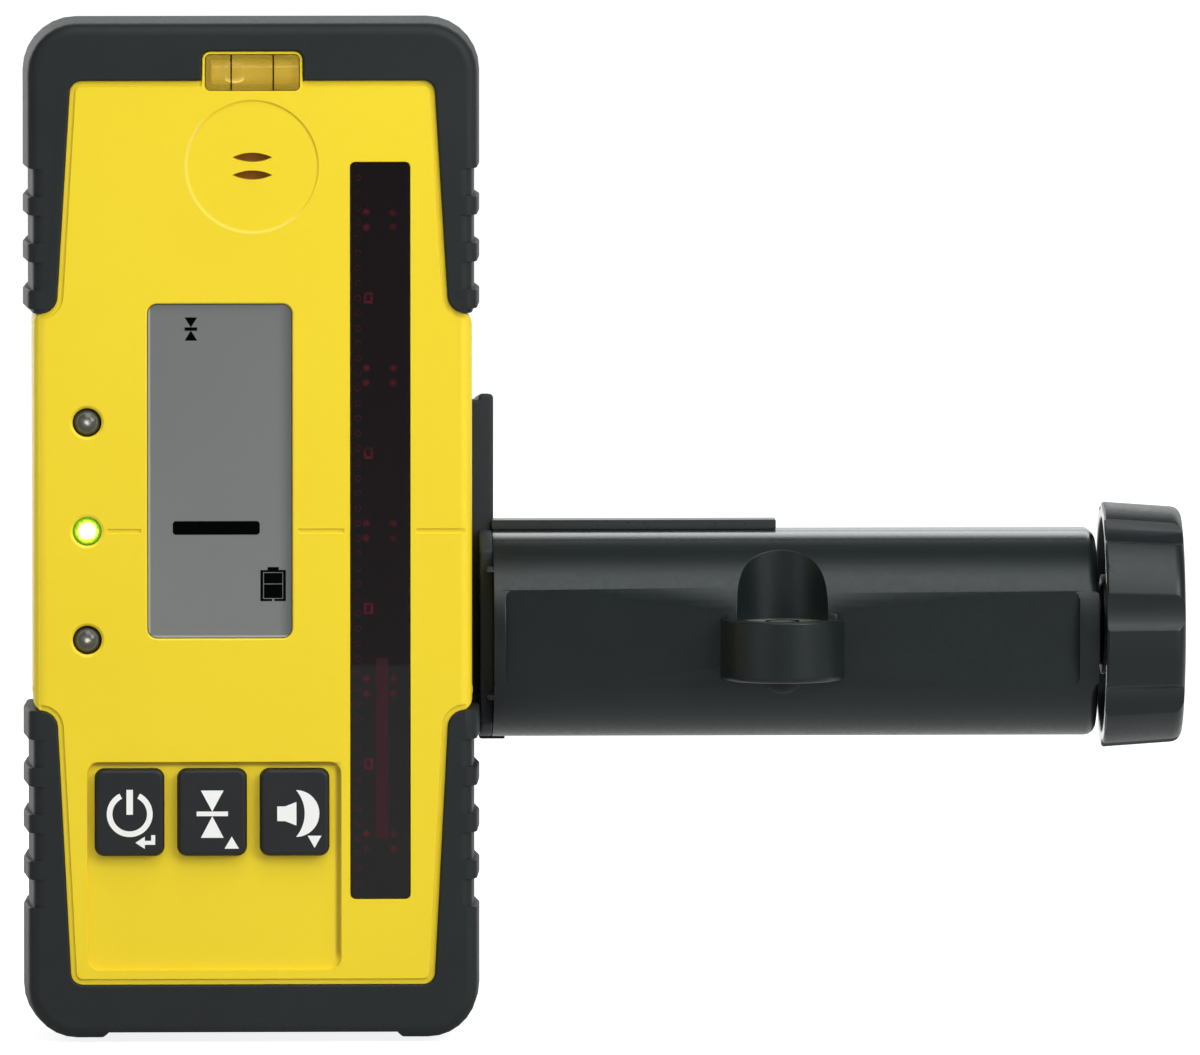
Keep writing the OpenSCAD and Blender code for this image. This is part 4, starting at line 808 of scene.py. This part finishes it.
def is_flat(obj):
    depths = [v.co.y for v in obj.data.vertices]
    return max(depths) - min(depths) < MERGE_GAP


def settle_sign(pieces, name, x, y, z, finish_name, body):
    """Joins the flat and raised shapes of a sign and sets it on its face."""
    flat = [p for p in pieces if is_flat(p)]
    raised = [p for p in pieces if p not in flat]
    sign = join(flat, name)
    raise_film(sign)
    if raised:
        sign = join([sign] + raised, name)
    sign.location = (x * MM, y * MM, z * MM)
    only(sign)
    bpy.ops.object.transform_apply(location=True, rotation=True, scale=True)
    return settle(sign, finish_name, body, finish_name, weighted=False)


def make_power_sign():
    """An open ring with a bar in its gap, and a small bent arrow below."""
    return [ring_sign(0, -0.2, 3.88, 2.92, 25), bar_sign(-0.55, -0.3, 0.55, 3.92),
            bar_sign(2.55, -5.41, 4.3, -4.72), bar_sign(3.62, -4.72, 4.3, -3.77),
            arrow_sign((0.95, -5.06), 2.55, 1.04, sideways=True)]


def make_band_sign(bar_half=2.65, low=-0.58, high=0.21, half=1.92):
    """Two arrows that point at a bar, and a small arrow up in the corner."""
    return [arrow_sign((0, high), 3.77, half), bar_sign(-bar_half, low, bar_half, high),
            arrow_sign((0, low), -4.25, half), arrow_sign((3.29, -4.03), -6.1, 1.22)]


def make_volume_sign():
    """A speaker with a crescent, and a small arrow down in the corner."""
    return [speaker_sign(-2.97, -1.64, 0.27, 1.25, 2.0, -0.2), crescent_sign(0.18, -0.16, 3.97, -4.43, 6.1),
            arrow_sign((3.34, -6.0), -3.93, 1.17)]


KEY_SIGNS = {"key_power": make_power_sign, "key_band": make_band_sign, "key_volume": make_volume_sign}
for key, make in KEY_SIGNS.items():
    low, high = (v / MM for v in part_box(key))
    settle_sign(make(), key + "_sign", (low.x + high.x) / 2, low.y, (low.z + high.z) / 2, "mark_white",
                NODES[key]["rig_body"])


def make_grade_bar():
    """The display's long bar, with round corners."""
    obj = bar_sign(-13.5, -0.6, 1.2, 1.7)
    bpy.ops.object.mode_set(mode="EDIT")
    bpy.ops.mesh.select_all(action="SELECT")
    bpy.ops.mesh.bevel(offset=0.55 * MM, segments=6, affect="VERTICES")
    bpy.ops.object.mode_set(mode="OBJECT")
    return obj


def make_battery_sign(x0=1.3, x1=5.6, top=-6.5, bottom=-11.85, line=0.46, slit=0.13):
    """A charged battery: cap, outline with a small break below, and two full cells."""
    middle, cell, cap_half, half_break = (x0 + x1) / 2, -8.95, 0.95, 0.2
    left, right, foot = x0 + line, x1 - line, bottom + line * 0.8
    return [bar_sign(middle - cap_half, top - 0.1, middle + cap_half, top + 0.4),
            bar_sign(x0, top - line, x1, top - 0.1),
            bar_sign(x0, bottom, left, top - line), bar_sign(right, bottom, x1, top - line),
            bar_sign(left, bottom, middle - half_break, foot),
            bar_sign(middle + half_break, bottom, right, foot),
            bar_sign(left + slit, cell + slit / 2, right - slit, top - line - slit),
            bar_sign(left + slit, foot + slit, right - slit, cell - slit / 2)]


def make_band_mark(x=-10.4, z=34.2, half=1.05, tall=1.95, bar=0.28):
    """The band sign again, small, near the display's top."""
    return [arrow_sign((x, z + bar), z + tall, half), bar_sign(x - half, z - bar, x + half, z + bar),
            arrow_sign((x, z - bar), z - tall, half)]


settle_sign([make_grade_bar()] + make_battery_sign() + make_band_mark(), "display_signs",
            CASE_X, LENS_LOW.y, 0, "mark_black", ROOT)


# Details that the solids leave out

def add_cube(low, high):
    """A block between two corners."""
    bpy.ops.object.select_all(action="DESELECT")
    bpy.ops.mesh.primitive_cube_add(size=MM, location=(Vector(low) + Vector(high)) / 2 * MM)
    bpy.context.active_object.scale = Vector(high) - Vector(low)
    return placed()


def make_jaw_pad():
    """Rubber pad with upright grip ribs that end on the clamping face."""
    rib_h, rib_w, pitch, end, sunk = 0.7, 1.3, 2.4, 0.5, 0.2
    base = add_cube((PAD_LOW.x + rib_h, PAD_LOW.y, PAD_LOW.z), PAD_HIGH)
    count = int((PAD_HIGH.y - PAD_LOW.y - rib_w) / pitch) + 1
    first = (PAD_LOW.y + PAD_HIGH.y - (count - 1) * pitch - rib_w) / 2
    ribs = []
    for i in range(count):
        rib_y = first + i * pitch
        ribs.append(add_cube((PAD_LOW.x, rib_y, PAD_LOW.z + end),
                             (PAD_LOW.x + rib_h + sunk, rib_y + rib_w, PAD_HIGH.z - end)))
    pad = join([base] + ribs, "jaw_pad_rubber")
    soften(pad, 0.2, 2)
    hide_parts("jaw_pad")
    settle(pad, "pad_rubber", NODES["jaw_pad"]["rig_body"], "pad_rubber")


def add_shaft(x0, x1, r, y, z):
    """A plain length of shaft along X, with rounded ends."""
    bpy.ops.object.select_all(action="DESELECT")
    bpy.ops.mesh.primitive_cylinder_add(vertices=48, radius=r * MM, depth=(x1 - x0) * MM,
                                        location=((x0 + x1) / 2 * MM, y * MM, z * MM),
                                        rotation=(0, math.radians(90), 0))
    shaft = placed()
    soften(shaft, 0.3, 2)
    return shaft


def face_out(tube, y, z):
    """Turns the faces of an open tube along X outwards."""
    axis = Vector((0, y * MM, z * MM))
    only(tube)
    bpy.ops.object.mode_set(mode="EDIT")
    bpy.ops.mesh.select_all(action="SELECT")
    bpy.ops.mesh.normals_make_consistent(inside=False)
    mesh = bmesh.from_edit_mesh(tube.data)
    outward = 0.0
    for face in mesh.faces:
        away = face.calc_center_median() - axis
        away.x = 0
        outward += away.dot(face.normal)
    if outward < 0:
        bpy.ops.mesh.flip_normals()
    bpy.ops.object.mode_set(mode="OBJECT")


def make_thread():
    """Two-start trapezoid thread on the clamp screw, between plain ends."""
    lead, depth, turns = 6.0, 0.9, 13
    neck, run_in, cover, overlap = 5.8, 8.0, 0.3, 0.2
    y, z = (SCREW_LOW.y + SCREW_HIGH.y) / 2, (SCREW_LOW.z + SCREW_HIGH.z) / 2
    r = (SCREW_HIGH.z - SCREW_LOW.z) / 2
    neck_r, root_r = r - 0.7, r - 0.15
    start = SCREW_LOW.x + run_in
    end = start + lead * (turns + 1)
    bpy.ops.object.select_all(action="DESELECT")
    bpy.ops.mesh.primitive_plane_add(size=MM, location=(start * MM, y * MM, (z + r) * MM))
    thread = placed()
    bpy.ops.object.mode_set(mode="EDIT")
    bpy.ops.mesh.select_mode(type="VERT")
    bpy.ops.mesh.select_all(action="SELECT")
    bpy.ops.mesh.merge(type="CENTER")
    # Crest, flank, root and flank take up half the lead
    tooth = ((0.75, 0), (0.35, -depth), (1.55, 0), (0.35, depth))
    for along, up in tooth * 2:
        bpy.ops.mesh.extrude_vertices_move(TRANSFORM_OT_translate={"value": (along * MM, 0, up * MM)})
    bpy.ops.object.mode_set(mode="OBJECT")
    bpy.context.scene.cursor.location = (0, y * MM, z * MM)
    bpy.ops.object.origin_set(type="ORIGIN_CURSOR")
    screw = thread.modifiers.new("turns", "SCREW")
    screw.axis = "X"
    screw.screw_offset = lead * MM
    screw.iterations = turns
    screw.steps = screw.render_steps = 32
    screw.use_merge_vertices = True
    bpy.ops.object.modifier_apply(modifier=screw.name)
    bpy.ops.object.transform_apply(location=True, rotation=True, scale=True)
    face_out(thread, y, z)
    bpy.context.scene.cursor.location = (0, 0, 0)
    shafts = [add_shaft(SCREW_LOW.x, SCREW_LOW.x + neck, neck_r, y, z),
              add_shaft(SCREW_LOW.x + neck - overlap, start + lead + cover, root_r, y, z),
              add_shaft(end - lead - cover, end + overlap, root_r, y, z),
              add_shaft(end, SCREW_HIGH.x, r, y, z)]
    thread = join([thread] + shafts, "clamp_screw_thread")
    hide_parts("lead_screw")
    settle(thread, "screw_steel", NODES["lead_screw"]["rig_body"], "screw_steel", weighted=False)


def make_latch_ridges():
    """Finger ridges on the battery latch."""
    half, width, pitch, first, proud, sunk, count = 5.0, 0.7, 1.3, 1.1, 0.35, 0.1, 3
    ridges = []
    for i in range(count):
        z = LATCH_LOW.z + first + i * pitch
        ridges.append(add_cube((CASE_X - half, LATCH_HIGH.y - sunk, z),
                               (CASE_X + half, LATCH_HIGH.y + proud, z + width)))
    obj = join(ridges, "latch_ridges")
    soften(obj, 0.2, 2)
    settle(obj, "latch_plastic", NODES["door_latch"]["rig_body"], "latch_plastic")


def make_bubble(piece, centre, radii, cut, axes):
    """A bubble: a flattened ball, cut flat on the side that cut points to. Axes are those it shows."""
    make_bubble_with_painted_rim_light(piece, centre, radii, axes)
    bpy.ops.object.select_all(action="DESELECT")
    bpy.ops.mesh.primitive_uv_sphere_add(segments=40, ring_count=20, radius=MM, location=Vector(centre) * MM)
    bpy.context.active_object.scale = radii
    obj = placed(piece)
    bpy.ops.object.mode_set(mode="EDIT")
    bpy.ops.mesh.select_all(action="SELECT")
    bpy.ops.mesh.bisect(plane_co=Vector(centre) * MM, plane_no=cut, use_fill=True, clear_outer=True)
    bpy.ops.object.mode_set(mode="OBJECT")
    return settle(obj, piece, ROOT, "level_liquid", weighted=False)


make_jaw_pad()
make_thread()
make_latch_ridges()
make_bubble("bar_level_bubble", centre=(CASE_X - 2.95, -44.9, LEVEL_LOW.z + 3.0), radii=(2.4, 0.9, 1.8),
            cut=(0, 1, 0), axes=(0, 2))
make_bubble("round_level_bubble", centre=(CUP_X, CUP_Y, VIAL_HIGH.z - 1.9), radii=(2.1, 2.1, 0.6),
            cut=(0, 0, -1), axes=(0, 1))


# Studio
STUDIO_LIGHT = 0.42
STUDIO_DARK = 0.06
FLOOR_SIZE, FLOOR_DROP, FLOOR_GREY, FLOOR_GLOW = 16, 0.0002, 0.45, 0.86
SWEEP_GAIN, SWEEP_START = 8.3, -5.5
VIEW_DISTANCE, VIEW_HALF_WIDTH = 4.0, 0.1018
WHITE = (1, 1, 1, 1)


def make_floor():
    """White where it is seen and mirrored behind the object, grey to the light that falls on it."""
    bpy.ops.object.select_all(action="DESELECT")
    bpy.ops.mesh.primitive_plane_add(size=FLOOR_SIZE, location=(0, 0, CAD_BOX[0].z - FLOOR_DROP))
    floor = bpy.context.active_object
    floor.name = "floor"
    tree, shader = new_material("pale_floor")
    shader.inputs["Base Color"].default_value = (FLOOR_GREY, FLOOR_GREY, FLOOR_GREY, 1)
    shader.inputs["Roughness"].default_value = 1.0
    shader.inputs["Specular IOR Level"].default_value = 0.0
    path = tree.nodes.new("ShaderNodeLightPath")
    mirrored = calc(tree, "MAXIMUM", path.outputs["Is Glossy Ray"], path.outputs["Is Transmission Ray"])
    behind = within(tree, object_axes(tree)[1], -100, 9000, 250)
    seen = calc(tree, "MAXIMUM", path.outputs["Is Camera Ray"], calc(tree, "MULTIPLY", mirrored, behind))
    glow = add(tree, "ShaderNodeEmission", Color=WHITE, Strength=calc(tree, "MULTIPLY", seen, FLOOR_GLOW))
    both = tree.nodes.new("ShaderNodeAddShader")
    tree.links.new(shader.outputs[0], both.inputs[0])
    tree.links.new(glow.outputs[0], both.inputs[1])
    tree.links.new(both.outputs[0], tree.nodes["Material Output"].inputs["Surface"])
    floor.data.materials.append(FINISH["pale_floor"])


def make_world():
    """White where it is seen and low behind the object, dim elsewhere, as a white sweep in a dark studio."""
    world = bpy.data.worlds.new("studio")
    bpy.context.scene.world = world
    world.use_nodes = True
    tree = world.node_tree
    back = tree.nodes["Background"]
    path = tree.nodes.new("ShaderNodeLightPath")
    outlook = tree.nodes.new("ShaderNodeTexCoord").outputs["Generated"]
    direction = add(tree, "ShaderNodeSeparateXYZ", Vector=outlook)
    sweep = calc(tree, "MULTIPLY_ADD", direction.outputs["Y"], SWEEP_GAIN, SWEEP_START)
    sweep = clamp(tree, sweep, low=STUDIO_DARK)
    glossy = calc(tree, "MAXIMUM", path.outputs["Is Glossy Ray"], path.outputs["Is Transmission Ray"])
    level = calc(tree, "MULTIPLY_ADD", glossy, calc(tree, "SUBTRACT", sweep, STUDIO_LIGHT), STUDIO_LIGHT)
    rest = calc(tree, "SUBTRACT", 1.0, level)
    seen = calc(tree, "MULTIPLY_ADD", path.outputs["Is Camera Ray"], rest, level)
    tree.links.new(seen, back.inputs["Strength"])
    back.inputs["Color"].default_value = WHITE


def add_lamp(name, place, target, size, power):
    """A softbox at a place, turned to its target."""
    data = bpy.data.lights.new(name, "AREA")
    data.shape = "RECTANGLE"
    data.size, data.size_y = size
    data.energy = power
    lamp = bpy.data.objects.new(name, data)
    bpy.context.scene.collection.objects.link(lamp)
    lamp.location = place
    lamp.rotation_euler = (Vector(target) - Vector(place)).to_track_quat("-Z", "Y").to_euler()


def make_camera():
    """A long lens a little to the left of the front and a little above it."""
    azimuth, elevation = math.radians(-1.8), math.radians(3.8)
    target = Vector((17.7, -30.0, -0.6)) * MM
    back = Vector((math.sin(azimuth) * math.cos(elevation), -math.cos(azimuth) * math.cos(elevation),
                   math.sin(elevation)))
    data = bpy.data.cameras.new("camera")
    data.sensor_fit = "HORIZONTAL"
    data.angle = 2 * math.atan(VIEW_HALF_WIDTH / VIEW_DISTANCE)
    data.clip_end = 50
    camera = bpy.data.objects.new("camera", data)
    bpy.context.scene.collection.objects.link(camera)
    camera.location = target + back * VIEW_DISTANCE
    camera.rotation_euler = (-back).to_track_quat("-Z", "Y").to_euler()
    bpy.context.scene.camera = camera


make_floor()
make_world()
add_lamp("overhead_softbox", (0.12, -0.57, 0.98), (0, -0.03, 0), (0.78, 0.78), 6.7)
add_lamp("key_softbox", (0.58, -0.62, 0.36), (0, -0.03, 0), (0.45, 0.45), 4.2)
add_lamp("fill_softbox", (-1.0, -1.1, 0.3), (0, -0.03, 0), (0.9, 0.9), 2.6)
add_lamp("back_softbox", (0.1, 1.3, 0.72), (0, 0, 0), (2.2, 0.5), 5.0)
add_lamp("rear_softbox", (-0.9, 1.2, 0.35), (0, 0, 0), (0.9, 0.9), 5.0)
make_camera()
bpy.context.scene.view_settings.view_transform = "Standard"
